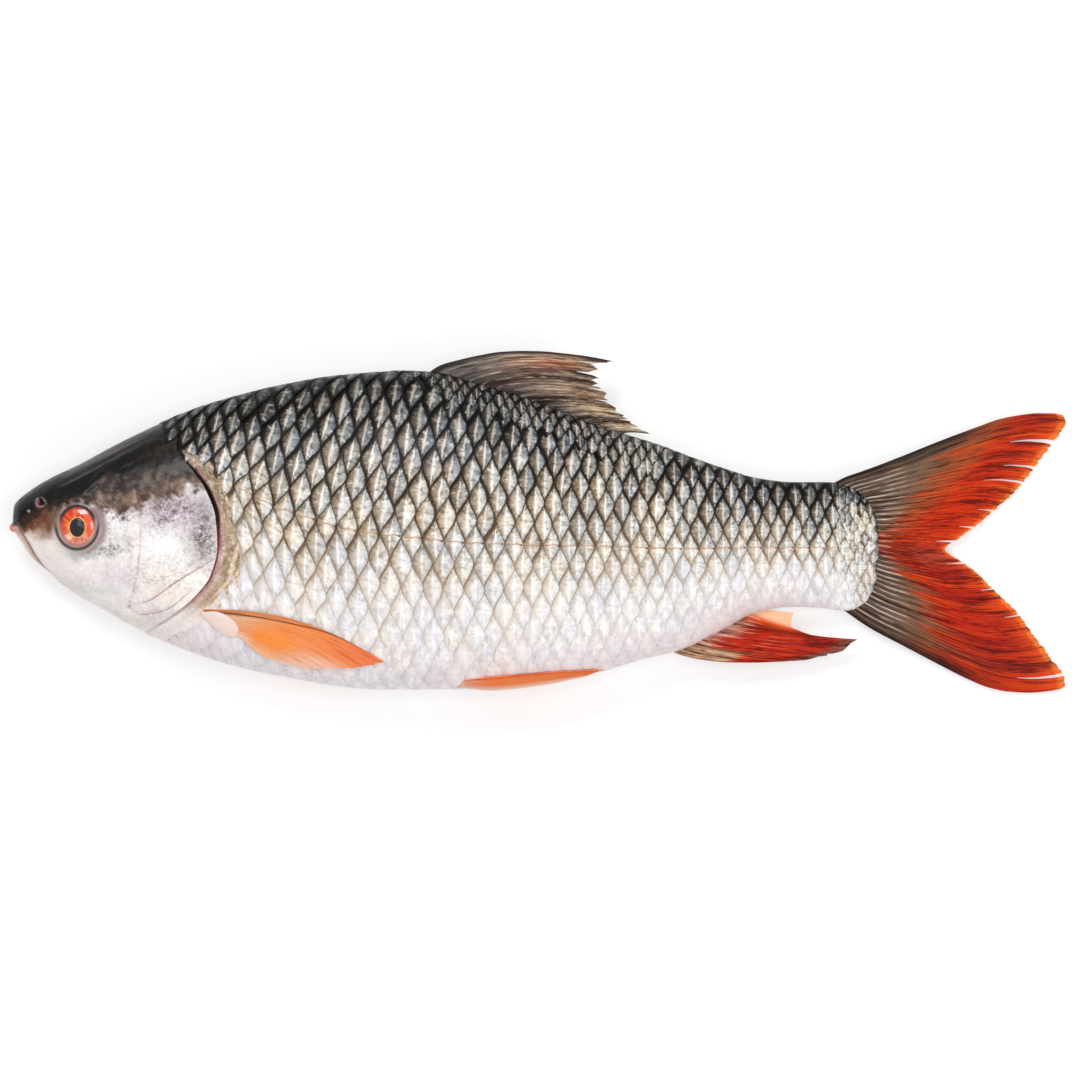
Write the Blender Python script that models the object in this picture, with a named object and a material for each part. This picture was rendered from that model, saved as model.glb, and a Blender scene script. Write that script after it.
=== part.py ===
"""A whole raw carp with a red forked tail, lying on its right side.

The fish is laid out in its own frame first, in metres: s runs from the snout to the tail, h rises
towards the back from the level of the lateral line, and w runs outwards from the middle plane.
It lies with its head towards -X, its back towards +Y and its left side up, on the plane z = 0.
"""

import math

import bmesh
import bpy
import numpy as np
from mathutils import Vector

MM = 0.001

# Driving dimensions
TOTAL_LENGTH = 422 * MM
FIN_TOP = 78 * MM  # highest level that the dorsal fin reaches
TAIL_BOTTOM = -58.8 * MM  # lowest level that the tail fin reaches
BODY_END = 347 * MM  # where the scaled body ends on the tail fin
MIDDLE_REST = 25.3 * MM  # height of the middle plane above the table at the shoulders
MIDDLE_TAIL = 1.0 * MM  # and at the tip of the sagging tail
SAG_START = 170 * MM
SAG_END = 430 * MM

# Side outline, as (station, level) in millimetres
BACK = [
    (0, 12), (0.5, 15.6), (2, 18.2), (6.8, 22), (13, 26), (27, 32.8), (43, 41.4), (59, 49), (75, 55.8),
    (107, 64.4), (131, 68.4), (155, 70), (168, 69.4), (187, 64.6), (208, 58.2), (234, 48), (259, 40.2),
    (283, 31.6), (299, 27), (312, 25.6), (325, 25.6), (335, 24), (341, 20), (345, 13.5), (347, 2),
]
BELLY = [
    (0, 9), (0.5, 7), (3.5, 2.6), (7, -3), (14.8, -11.2), (27, -20.4), (35, -24.8), (51, -33.6),
    (67, -40.8), (83, -46.4), (99, -50.4), (115, -53.6), (131, -56.2), (147, -57.4), (187, -57.3),
    (203, -56.2), (219, -54), (235, -50.4), (251, -45.6), (267, -41.6), (283, -34), (298, -26.4),
    (311, -24.4), (323, -24.8), (334, -26.2), (341, -23), (345, -16), (347, -4),
]
# Half of the width, and how boxy the upper and the lower half of a section are (2 is an ellipse)
FLANK = [
    (0, 2), (0.5, 5), (3.5, 9.5), (10, 13.4), (25, 18), (45, 21.8), (70, 24.2), (100, 25.6), (130, 26),
    (170, 25.4), (210, 22.4), (250, 17.6), (290, 12.2), (320, 9.2), (337, 6.6), (344, 4.6), (347, 2),
]
BACK_BOXINESS = [(0, 2.0), (20, 2.5), (60, 2.5), (100, 2.1), (347, 2.0)]
BELLY_BOXINESS = [(0, 2.0), (40, 2.1), (90, 2.3), (200, 2.4), (347, 2.0)]

# Gill cover's rear edge: station in millimetres by share of the way round from the back to the belly
GILL_EDGE = [
    (0, 66), (0.12, 66.5), (0.22, 66), (0.3, 72), (0.37, 77.5), (0.46, 81.5), (0.55, 82.2), (0.64, 79.5),
    (0.72, 73), (0.8, 64.5), (0.88, 57), (1.0, 51),
]
GILL_COVER_RISE = 1.1 * MM
HEAD_SEGMENTS = 36
HEAD_RINGS = 20

# Scales: how long and how tall one shows at each station, both in millimetres
SCALES_START = 52 * MM
SCALE_ROWS = 30  # all round the body
SCALE_LENGTH = [(50, 7.6), (85, 8.0), (150, 8.6), (195, 8.0), (235, 7.0), (275, 6.4), (315, 6.3), (331, 5.4), (345, 3.6)]
SCALE_RISE = 0.9 * MM
UNDER_COVER = 1.8 * MM  # how far the scaled body dips below the gill covers, ahead of their edge

EYE_STATION, EYE_LEVEL = 26.2 * MM, 8.1 * MM
EYE_RADIUS = 7.2 * MM
EYE_DEPTH = 5.4 * MM
EYE_PROUD = 1.3 * MM

LIP_RADIUS = 1.5 * MM
# Mouth line, seen from the side, from the tip of the snout to the corner of the mouth
MOUTH = [(2.2, 8.2), (3.6, 5.4), (6.2, 1.2), (10.2, -5.6), (16.4, -12.4), (22, -16.8)]

# Fins seen from the side: the line of their bases and of their ray tips, in millimetres
DORSAL_BASE = [(163, 68), (187, 62.6), (208, 56.2), (228, 48.2), (238, 44.6)]
DORSAL_TIPS = [(240, 74), (236.5, 70.2), (234.5, 66), (236, 61), (241, 54.6), (247, 49.8), (254, 45.2)]
ANAL_BASE = [(265, -40.4), (276, -35.8), (288, -29.8), (299, -24.6)]
ANAL_TIPS = [(322, -45.2), (331, -42), (337, -37.6), (324, -35), (314.6, -33), (311.6, -29.4), (312, -26.6)]
TAIL_BASE = [(333, 22.5), (341, 16), (343.6, 2), (342.6, -12), (338, -20), (333, -24.4)]
TAIL_TIPS = [
    (422, 51.6), (419.6, 44.4), (411, 33.2), (400, 20.2), (388, 9.4), (377, 2), (373.6, -0.8), (378.6, -5),
    (391, -16.4), (402.6, -28), (411, -38), (418, -49), (422, -56),
]
# How far a ray bows off the straight line from its base to its tip, by share across the fin
DORSAL_BOW = [(0, 6.4), (0.25, 4.6), (0.6, 2.5), (1, 0.5)]
ANAL_BOW = [(0, -5.5), (0.35, -3), (1, -0.5)]
TAIL_BOW = [(0, 7.4), (0.25, 3), (0.5, 0), (0.75, -5), (1, -12.7)]

# Paired fins: the outlines (station, level) of the breast fins, and the strip of the belly fins
BREAST_BASE = [(76, -25), (80, -28), (86, -33.5), (91, -36)]
BREAST_TIPS = [(149, -46.4), (141, -48.2), (131, -49.2), (119, -49.2), (108, -47)]
BREAST_BOW = [(0, 6), (0.4, 3.4), (1, -1.5)]
BELLY_FIN_START, BELLY_FIN_END = 175 * MM, 235 * MM
BELLY_FIN_UPPER, BELLY_FIN_LOWER = 0.815, 0.925  # shares of the way round from back to belly


def smooth_curve(points):
    """A function through the points that stays between neighbouring values, for millimetre tables."""
    x, y = (np.array(column, float) for column in zip(*points))
    chord = np.diff(y) / np.diff(x)
    before, after = chord[:-1], chord[1:]
    slope = np.zeros(len(x))
    same_way = before * after > 0
    slope[1:-1][same_way] = (2 * before * after)[same_way] / (before + after)[same_way]
    slope[0], slope[-1] = chord[0], chord[-1]

    def at(value):
        value = np.clip(np.asarray(value, float), x[0], x[-1])
        i = np.clip(np.searchsorted(x, value, side="right") - 1, 0, len(x) - 2)
        width = x[i + 1] - x[i]
        t = (value - x[i]) / width
        return (
            (1 + 2 * t) * (1 - t) ** 2 * y[i]
            + t * (1 - t) ** 2 * width * slope[i]
            + t**2 * (3 - 2 * t) * y[i + 1]
            + t**2 * (t - 1) * width * slope[i + 1]
        )

    return at


def by_station(points):
    """A smooth_curve that takes a station in metres and gives metres."""
    curve = smooth_curve(points)
    return lambda s: curve(np.asarray(s) / MM) * MM


def across(points):
    """A point on the smooth line through (station, level) points, by share of its length, in metres."""
    points = np.array(points, float)
    steps = np.linalg.norm(np.diff(points, axis=0), axis=1)
    share = np.concatenate([[0], np.cumsum(steps)]) / steps.sum()
    station = smooth_curve(list(zip(share, points[:, 0])))
    level = smooth_curve(list(zip(share, points[:, 1])))
    return lambda u: np.array([station(u), level(u)]) * MM


back_level = by_station(BACK)
belly_level = by_station(BELLY)
flank_width = by_station(FLANK)
back_boxiness = smooth_curve(BACK_BOXINESS)
belly_boxiness = smooth_curve(BELLY_BOXINESS)
gill_edge = smooth_curve(GILL_EDGE)


def middle_height(s):
    """Height of the fish's middle plane above the table: level at the head, sagging to the tail."""
    t = np.clip((np.asarray(s) - SAG_START) / (SAG_END - SAG_START), 0, 1)
    return MIDDLE_REST + (MIDDLE_TAIL - MIDDLE_REST) * t * t * (3 - 2 * t)


def in_world(points):
    """Fish-frame points (s, h, w) as the object's own x, y and z."""
    points = np.asarray(points, float)
    s, h, w = points[..., 0], points[..., 1], points[..., 2]
    return np.stack(
        [s - TOTAL_LENGTH / 2, h - (FIN_TOP + TAIL_BOTTOM) / 2, middle_height(s) + w], axis=-1
    )


def section(s, angle):
    """Level and half-width of the body's surface at an angle: 90 degrees is the back, -90 the belly."""
    centre = (back_level(s) + belly_level(s)) / 2
    reach = (back_level(s) - belly_level(s)) / 2
    boxiness = np.where(np.sin(angle) > 0, back_boxiness(s / MM), belly_boxiness(s / MM))
    up = np.sign(np.sin(angle)) * np.abs(np.sin(angle)) ** (2 / boxiness)
    out = np.abs(np.cos(angle)) ** (2 / boxiness)
    return centre + reach * up, flank_width(s) * out


def around(s, share):
    """(h, w) on the left flank at shares of the way round from the back (0) to the belly (1)."""
    angles = np.linspace(math.pi / 2, -math.pi / 2, 121)
    h, w = section(s, angles)
    run = np.concatenate([[0], np.cumsum(np.hypot(np.diff(h), np.diff(w)))])
    return np.interp(share, run / run[-1], h), np.interp(share, run / run[-1], w)


def half_width_at(s, h):
    """How far out the flank is at a station and a level."""
    centre = (back_level(s) + belly_level(s)) / 2
    reach = (back_level(s) - belly_level(s)) / 2
    x = np.clip((h - centre) / reach, -1, 1)
    boxiness = np.where(x > 0, back_boxiness(s / MM), belly_boxiness(s / MM))
    return flank_width(s) * (1 - np.abs(x) ** boxiness) ** (1 / boxiness)


def ring(s, count, grow=0.0):
    """count points (s, h, w) round the body at a station, or at one station each, starting on the back."""
    shares = np.arange(count) / count * 2
    left = shares <= 1
    stations = np.broadcast_to(s, (count,))
    points = np.zeros((count, 3))
    for i, (share, station) in enumerate(zip(shares, stations)):
        h, w = around(station, share if left[i] else 2 - share)
        points[i] = station, h, w if left[i] else -w
    if np.any(grow):
        centre = (back_level(stations) + belly_level(stations)) / 2
        outward = points - np.stack([stations, centre, np.zeros(count)], axis=1)
        outward /= np.linalg.norm(outward, axis=1, keepdims=True) + 1e-9
        points += outward * np.broadcast_to(grow, (count,))[:, None]
    return points


def mesh_object(name, points, faces, material):
    """A closed mesh object from world points, with its faces turned outwards."""
    mesh = bpy.data.meshes.new(name)
    mesh.from_pydata([tuple(p) for p in points], [], faces)
    shape = bmesh.new()
    shape.from_mesh(mesh)
    bmesh.ops.recalc_face_normals(shape, faces=shape.faces)
    shape.to_mesh(mesh)
    shape.free()
    mesh.materials.append(material)
    obj = bpy.data.objects.new(name, mesh)
    bpy.context.scene.collection.objects.link(obj)
    return obj


def lofted(name, rings, first_pole, last_pole, material, seam=None):
    """A closed skin over rings of equal count. seam(i, j) says which way the quad at (i, j) is split."""
    count = len(rings[0])
    points = [p for r in rings for p in r] + [first_pole, last_pole]
    faces = []
    for i in range(len(rings) - 1):
        for j in range(count):
            a, b = i * count + j, i * count + (j + 1) % count
            c, d = b + count, a + count
            if seam and seam(i, j):
                faces += [(a, b, d), (b, c, d)]
            else:
                faces += [(a, b, c), (a, c, d)]
    last = (len(rings) - 1) * count
    for j in range(count):
        faces.append(((j + 1) % count, j, len(points) - 2))
        faces.append((last + j, last + (j + 1) % count, len(points) - 1))
    world = in_world(points)
    world[:, 2] = np.maximum(world[:, 2], 0)  # flesh that rests on the table is pressed flat
    return mesh_object(name, world, faces, material)


def scale_stations():
    """Stations of the scales' crests and of the corners between them, half a scale apart."""
    length = by_station(SCALE_LENGTH)
    stations = [SCALES_START]
    while stations[-1] < BODY_END - 2.4 * MM:
        stations.append(stations[-1] + float(length(stations[-1])) / 2)
    return stations


def scaled_body(material):
    """The trunk: a lattice whose every second point is a scale's crest, so that each scale stands up
    as a diamond of four facets between its neighbours."""
    shares = np.arange(SCALE_ROWS) / SCALE_ROWS * 2
    cover_edge = gill_edge(np.where(shares <= 1, shares, 2 - shares)) * MM
    rings = []
    stations = scale_stations()
    for i, s in enumerate(stations):
        crest = (np.arange(SCALE_ROWS) + i) % 2 == 0
        fade = min(1.0, (BODY_END - s) / (30 * MM) + 0.25)
        relief = np.where(crest, 0.25, -0.75) * SCALE_RISE * fade
        covered = np.clip((cover_edge - s) / (4 * MM), 0, 1)
        rings.append(ring(s, SCALE_ROWS, relief - UNDER_COVER * covered))
    start, end = stations[0] - 2 * MM, BODY_END
    return lofted(
        "scaled_body",
        rings,
        (start, float(back_level(start) + belly_level(start)) / 2, 0),
        (end, float(back_level(end) + belly_level(end)) / 2, 0),
        material,
        seam=lambda i, j: (i + j) % 2 == 0,
    )


def head(material):
    """The head, whose last ring is the free rear edge of the gill covers."""
    shares = np.arange(HEAD_SEGMENTS) / HEAD_SEGMENTS * 2
    shares = np.where(shares <= 1, shares, 2 - shares)
    rear = gill_edge(shares) * MM
    on_cover = np.clip(np.sin(np.pi * shares) * 1.6 - 0.5, 0, 1)
    rings = []
    for i in range(1, HEAD_RINGS + 1):
        along = (i / HEAD_RINGS) ** 1.7
        swell = GILL_COVER_RISE * max(0.0, (along - 0.55) / 0.45) ** 1.5
        rings.append(ring(rear * along, HEAD_SEGMENTS, swell * on_cover))
    centre = [60 * MM, 6 * MM, 0]
    rings.append(rings[-1] + (np.array(centre) - rings[-1]) * 0.12)
    return lofted("head", rings, (0, 11.4 * MM, 0), centre, material)


def eye(name, side, material):
    """A low dome at the eye."""
    shape = bmesh.new()
    bmesh.ops.create_uvsphere(shape, u_segments=20, v_segments=10, radius=1)
    out = float(half_width_at(EYE_STATION, EYE_LEVEL)) + EYE_PROUD - EYE_DEPTH
    points = np.array([v.co for v in shape.verts]) * [EYE_RADIUS, EYE_RADIUS, EYE_DEPTH]
    points += [EYE_STATION, EYE_LEVEL, out]
    points[:, 2] *= side
    faces = [tuple(v.index for v in f.verts) for f in shape.faces]
    shape.free()
    return mesh_object(name, in_world(points), faces, material)


def lips(material):
    """A fleshy bead along the mouth, from one corner round the snout to the other."""
    one_side = [(s * MM, h * MM) for s, h in MOUTH]
    path = [(s, h, float(half_width_at(s, h)) - 0.3 * LIP_RADIUS) for s, h in one_side]
    front = (LIP_RADIUS, path[0][1] + 0.5 * MM, 0.0)
    path = [(s, h, -w) for s, h, w in reversed(path)] + [front] + path
    sides, points, faces = 8, [], []
    for i, p in enumerate(path):
        ahead, behind = path[min(i + 1, len(path) - 1)], path[max(i - 1, 0)]
        along = (Vector(ahead) - Vector(behind)).normalized()
        outward = Vector((-0.7, -0.55, 0.0)).cross(along).normalized()
        beside = along.cross(outward)
        radius = LIP_RADIUS * (1 - 0.65 * abs(2 * i / (len(path) - 1) - 1) ** 2)
        for k in range(sides):
            turn = 2 * math.pi * k / sides
            points.append(Vector(p) + radius * (math.cos(turn) * outward + math.sin(turn) * beside))
    for i in range(len(path) - 1):
        for k in range(sides):
            a, b = i * sides + k, i * sides + (k + 1) % sides
            faces.append((a, b, b + sides, a + sides))
    faces += [tuple(range(sides)), tuple(range(len(points) - sides, len(points)))]
    return mesh_object("lips", in_world(points), faces, material)


def fin_slab(name, sheet, rays, steps, root, edge, material):
    """A closed fin. sheet(u, v) gives the fish-frame point and the sheet's normal at a share u across the
    rays and v along them; root and edge are the thickness at the base and at the tips."""
    columns = 2 * rays + 1
    u_values = np.linspace(0, 1, columns)
    near, far = [], []
    for j, u in enumerate(u_values):
        on_ray = j % 2 == 1
        for v in np.linspace(0, 1 if on_ray or j in (0, columns - 1) else 0.965, steps + 1):
            point, normal = sheet(float(u), float(v))
            thick = (root + (edge - root) * v ** 0.8) * (1.0 if on_ray else 0.62)
            near.append(point + normal * thick / 2)
            far.append(point - normal * thick / 2)
    rows = steps + 1
    count = columns * rows
    faces = []
    for j in range(columns - 1):
        for k in range(steps):
            a = j * rows + k
            b, c, d = a + 1, a + rows + 1, a + rows
            faces += [(a, b, c, d), (a + count, d + count, c + count, b + count)]
    rim = [j * rows for j in range(columns)]
    rim += [(columns - 1) * rows + k for k in range(1, rows)]
    rim += [j * rows + rows - 1 for j in range(columns - 2, -1, -1)]
    rim += [k for k in range(rows - 2, 0, -1)]
    for a, b in zip(rim, rim[1:] + rim[:1]):
        faces.append((a, b, b + count, a + count))
    return mesh_object(name, in_world(near + far), faces, material)


def middle_fin(base, tips, bow):
    """The sheet of a fin in the fish's middle plane."""
    base, tips, bow = across(base), across(tips), smooth_curve(bow)

    def sheet(u, v):
        start, end = base(u), tips(u)
        chord = end - start
        square = np.array([-chord[1], chord[0]]) / np.linalg.norm(chord)
        bowed = start + chord * v + square * bow(u) * MM * math.sin(math.pi * v ** 1.25)
        return np.array([bowed[0], bowed[1], 0.0]), np.array([0.0, 0.0, 1.0])

    return sheet


def breast_fin(side):
    """The sheet of a breast fin, folded back wet against the flank."""
    base, tips, bow = across(BREAST_BASE), across(BREAST_TIPS), smooth_curve(BREAST_BOW)

    def sheet(u, v):
        start, end = base(u), tips(u)
        chord = end - start
        square = np.array([-chord[1], chord[0]]) / np.linalg.norm(chord)
        s, h = start + chord * v + square * bow(u) * MM * math.sin(math.pi * v)
        out = float(half_width_at(s, h)) + MM * (min(1.0, 3.0 * v) - 1.5)
        return np.array([s, h, side * out]), np.array([0.0, 0.0, side])

    return sheet


def belly_fin(side):
    """The sheet of a belly fin, folded back flat against the underside of the belly."""

    def sheet(u, v):
        s = BELLY_FIN_START + (BELLY_FIN_END - BELLY_FIN_START) * v * (1 - 0.16 * abs(u - 0.35))
        spread = 0.55 + 0.45 * math.sin(math.pi * min(1.0, 0.25 + 0.75 * v))
        middle = (BELLY_FIN_UPPER + BELLY_FIN_LOWER) / 2
        share = middle + (BELLY_FIN_LOWER - BELLY_FIN_UPPER) * (u - 0.5) * spread
        h, w = around(s, share)
        h_next, w_next = around(s, share + 0.01)
        normal = np.array([0.0, -(w - w_next), (h_next - h)])
        normal *= -1 / np.linalg.norm(normal)
        normal = np.array([0.0, -abs(normal[1]), abs(normal[2])])
        point = np.array([s, h, w]) + normal * MM * (min(1.0, 3.0 * v) - 1.3)
        turn = np.array([1.0, 1.0, side])
        return point * turn, normal * turn

    return sheet


def material(name, colour, roughness):
    made = bpy.data.materials.new(name)
    made.use_nodes = True
    shader = made.node_tree.nodes["Principled BSDF"]
    shader.inputs["Base Color"].default_value = (*colour, 1)
    shader.inputs["Roughness"].default_value = roughness
    shader.inputs["Metallic"].default_value = 0.0
    return made


def joined(whole, additions):
    """One Boolean union of whole with the additions, applied, and the additions removed."""
    kept = bpy.data.collections.new("additions")
    bpy.context.scene.collection.children.link(kept)
    for obj in additions:
        bpy.context.scene.collection.objects.unlink(obj)
        kept.objects.link(obj)
    union = whole.modifiers.new("one_fish", "BOOLEAN")
    union.operation = "UNION"
    union.solver = "MANIFOLD"
    union.operand_type = "COLLECTION"
    union.collection = kept
    bpy.context.view_layer.objects.active = whole
    bpy.ops.object.modifier_apply(modifier=union.name)
    for obj in additions:
        bpy.data.objects.remove(obj)
    bpy.data.collections.remove(kept)
    return whole


def main():
    for obj in list(bpy.data.objects):
        bpy.data.objects.remove(obj)
    skin = material("silver_skin", (0.62, 0.6, 0.56), 0.35)
    red = material("red_fin", (0.62, 0.1, 0.035), 0.5)
    orange = material("orange_fin", (0.85, 0.36, 0.15), 0.5)
    iris = material("orange_iris", (0.85, 0.25, 0.05), 0.15)

    body = scaled_body(skin)
    pieces = [head(skin), lips(red)]
    pieces.append(fin_slab("dorsal_fin", middle_fin(DORSAL_BASE, DORSAL_TIPS, DORSAL_BOW), 11, 5, 2.6 * MM, 0.7 * MM, skin))
    pieces.append(fin_slab("anal_fin", middle_fin(ANAL_BASE, ANAL_TIPS, ANAL_BOW), 7, 4, 2.6 * MM, 0.7 * MM, red))
    pieces.append(fin_slab("tail_fin", middle_fin(TAIL_BASE, TAIL_TIPS, TAIL_BOW), 18, 7, 3.2 * MM, 0.9 * MM, red))
    for name, side in (("left", 1), ("right", -1)):
        pieces.append(fin_slab(f"breast_fin_{name}", breast_fin(side), 8, 5, 4.8 * MM, 4.4 * MM, orange))
        pieces.append(fin_slab(f"belly_fin_{name}", belly_fin(side), 5, 4, 3.8 * MM, 3.6 * MM, orange))
        pieces.append(eye(f"eye_{name}", side, iris))
    fish = joined(body, pieces)
    fish.name = fish.data.name = "fish"
    fish.data.shade_smooth()
    fish.data.set_sharp_from_angle(angle=math.radians(25))


main()
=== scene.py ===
"""A whole raw carp with a red forked tail, lying on its right side and seen from straight above.

The fish is laid out in its own frame first, in metres: s runs from the snout to the tail, h rises
towards the back from the level of the lateral line, and w runs outwards from the middle plane.
Tables of shapes are in millimetres, and colours are sRGB values from 0 to 255.
"""

import math

import bpy
import numpy as np
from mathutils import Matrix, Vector, noise


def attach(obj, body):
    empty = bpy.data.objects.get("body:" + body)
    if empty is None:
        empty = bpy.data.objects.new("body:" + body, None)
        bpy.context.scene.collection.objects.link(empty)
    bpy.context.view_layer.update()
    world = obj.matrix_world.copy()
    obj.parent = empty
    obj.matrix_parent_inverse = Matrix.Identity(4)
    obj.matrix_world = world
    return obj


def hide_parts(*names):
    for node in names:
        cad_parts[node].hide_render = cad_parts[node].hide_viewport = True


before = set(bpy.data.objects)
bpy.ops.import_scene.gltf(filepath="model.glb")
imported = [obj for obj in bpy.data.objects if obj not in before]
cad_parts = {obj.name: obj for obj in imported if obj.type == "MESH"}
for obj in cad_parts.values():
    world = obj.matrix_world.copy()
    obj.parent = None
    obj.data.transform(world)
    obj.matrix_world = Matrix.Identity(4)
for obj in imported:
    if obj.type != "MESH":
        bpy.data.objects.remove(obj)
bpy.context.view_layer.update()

MM = 0.001
rng = np.random.default_rng(7)

# The same dimensions as the CAD source
TOTAL_LENGTH = 422 * MM
FIN_TOP = 78 * MM
TAIL_BOTTOM = -58.8 * MM
BODY_END = 347 * MM
MIDDLE_REST = 25.3 * MM
MIDDLE_TAIL = 1.0 * MM
SAG_START = 170 * MM
SAG_END = 430 * MM

BACK = [
    (0, 12), (0.5, 15.6), (2, 18.2), (6.8, 22), (13, 26), (27, 32.8), (43, 41.4), (59, 49), (75, 55.8),
    (107, 64.4), (131, 68.4), (155, 70), (168, 69.4), (187, 64.6), (208, 58.2), (234, 48), (259, 40.2),
    (283, 31.6), (299, 27), (312, 25.6), (325, 25.6), (335, 24), (341, 20), (345, 13.5), (347, 2),
]
BELLY = [
    (0, 9), (0.5, 7), (3.5, 2.6), (7, -3), (14.8, -11.2), (27, -20.4), (35, -24.8), (51, -33.6),
    (67, -40.8), (83, -46.4), (99, -50.4), (115, -53.6), (131, -56.2), (147, -57.4), (187, -57.3),
    (203, -56.2), (219, -54), (235, -50.4), (251, -45.6), (267, -41.6), (283, -34), (298, -26.4),
    (311, -24.4), (323, -24.8), (334, -26.2), (341, -23), (345, -16), (347, -4),
]
FLANK = [
    (0, 2), (0.5, 5), (3.5, 9.5), (10, 13.4), (25, 18), (45, 21.8), (70, 24.2), (100, 25.6), (130, 26),
    (170, 25.4), (210, 22.4), (250, 17.6), (290, 12.2), (320, 9.2), (337, 6.6), (344, 4.6), (347, 2),
]
# How square the section is above and below its middle: 2 is an ellipse
BACK_BOXINESS = [(0, 2.0), (20, 2.5), (60, 2.5), (100, 2.1), (347, 2.0)]
BELLY_BOXINESS = [(0, 2.0), (40, 2.1), (90, 2.3), (200, 2.4), (347, 2.0)]
# The free rear edge of the head, as (share of the way from back to belly, station)
GILL_EDGE = [
    (0, 66), (0.12, 66.5), (0.22, 66), (0.3, 72), (0.37, 77.5), (0.46, 81.5), (0.55, 82.2), (0.64, 79.5),
    (0.72, 73), (0.8, 64.5), (0.88, 57), (1.0, 51),
]
GILL_COVER_RISE = 1.1 * MM

# The scales' lattice follows the lateral line, and its pitch shrinks towards the head and the tail
LATERAL_LINE = [
    (50, 37), (70, 31), (87.6, 24.8), (97.6, 19.6), (107.6, 14.8), (118.4, 11.4), (127.6, 8.4), (141, 5.6),
    (155, 4), (174, 2), (195, 0.8), (235, 0), (267, -1), (299, -0.6), (347, -0.9),
]
SCALE_PITCH = [
    (46, 4.6), (55, 5), (70, 6), (85, 7.4), (100, 8.15), (150, 8.6), (195, 7.7), (235, 7), (255, 7),
    (275, 6.4), (315, 6.3), (331, 5.4), (341, 4.2), (347, 3.2),
]
# The lateral line's tubes lie between these stations
TUBES_START, TUBES_END = 88 * MM, 341 * MM
ROW_TO_PITCH = 1.16
# The zones of the scales, and where the lattice of each zone of finer scales starts, with its pitch
MAIN, TAIL_ROOT, BESIDE_FIN = range(3)
FINE_SCALES = {TAIL_ROOT: (325 * MM, 3.5 * MM), BESIDE_FIN: (150 * MM, 4.4 * MM)}
TAIL_ROOT_START = 330 * MM
SCALE_ROWS = range(-14, 15)
# How far the columns above the lateral line lean back, by station
COLUMN_LEAN = [(46, 0.3), (90, 0.26), (130, 0.19), (170, 0.12), (220, 0.04), (260, 0), (347, 0)]
# Where the scales start behind the head, as (level, station)
SCALES_FROM = [
    (-60, 50), (-42, 56), (-38, 60), (-33, 71), (-24, 85), (-17, 90), (-6, 91), (6, 89), (18, 86),
    (30, 81), (35, 76), (39, 66.5), (42, 63.5), (46, 62), (52, 60.5), (60, 59),
]

EYE_STATION, EYE_LEVEL = 26.2 * MM, 8.1 * MM
IRIS_WIDTH, IRIS_HEIGHT = 6.75 * MM, 7.4 * MM
PUPIL_WIDTH, PUPIL_HEIGHT, PUPIL_DROP = 3.1 * MM, 3.8 * MM, 0.7 * MM
EYE_BULGE = 2.2 * MM
NOSTRIL = (11.4 * MM, 17.2 * MM)
PORE = (6.6 * MM, 14 * MM)
MOUTH = [(2.2, 8.2), (3.6, 5.4), (6.2, 1.2), (10.2, -5.6), (16.4, -12.4), (22, -16.8)]
# Where the black skin of the head's top ends, as (station, level)
DARK_HEAD = [
    (0, 8.6), (4, 10), (7, 13), (13, 16), (19, 18.2), (25, 19.2), (30, 21.6), (34, 25.6), (39, 28.6),
    (44, 27.8), (54, 31.2), (67, 33.6), (80, 36),
]
# How far below that the brown skin goes, as (station, depth)
BROWN_HEAD = [
    (0, 5), (12, 6), (20, 3.4), (26, 3), (30, 6), (34, 12), (40, 16), (50, 16), (56, 14), (66, 14),
    (80, 11),
]

# Grooves between the plates of the head
PREOPERCLE = [(49, 22), (50.6, 15), (51.4, 8), (51.2, 0), (49.8, -12), (46.4, -24.4)]
SUBOPERCLE = [(81.6, -4.8), (74.4, -9), (64.4, -15.2), (54.4, -22), (46.4, -24.4)]
BRANCHIAL = [(46.4, -24.8), (51.4, -27.4), (61, -25.6), (72, -17.6)]

# Fins in the middle plane: the lines of their bases, ray tips, front edges and rear edges
DORSAL_BASE = [(164, 67.5), (187, 62.4), (208, 56.4), (223, 50.6), (234, 46), (240, 43.6)]
DORSAL_FRONT = [
    (164, 67.5), (170.8, 72.2), (178.8, 74.5), (186.8, 76.3), (194.8, 77.6), (202.8, 78), (210.8, 77.9),
    (218.8, 77.2), (226.8, 76.3), (234.8, 75), (240.6, 73.8),
]
DORSAL_TIPS = [
    (240.6, 73.8), (237.4, 71.4), (235.6, 68.6), (236, 64.4), (238.4, 60), (241.4, 55.6), (246, 51.2),
    (250.6, 47.8), (255, 44.8),
]
DORSAL_REAR = [(240, 43.6), (247, 45.4), (255, 44.8)]

ANAL_BASE = [(262, -41.4), (276, -34.8), (288, -28.8), (298, -24.2)]
ANAL_FRONT = [(262, -41.4), (267, -43.6), (274.8, -45.4), (286.8, -46.6), (296, -46.7), (305, -46.4)]
ANAL_TIPS = [
    (305, -46.4), (318, -45.8), (326.8, -44), (334, -41.2), (339, -37.6), (330, -37), (321.2, -36),
    (315.2, -34), (311.4, -31.6), (312.4, -26.6),
]
ANAL_REAR = [(298, -24.2), (305, -26), (312.4, -26.6)]

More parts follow.
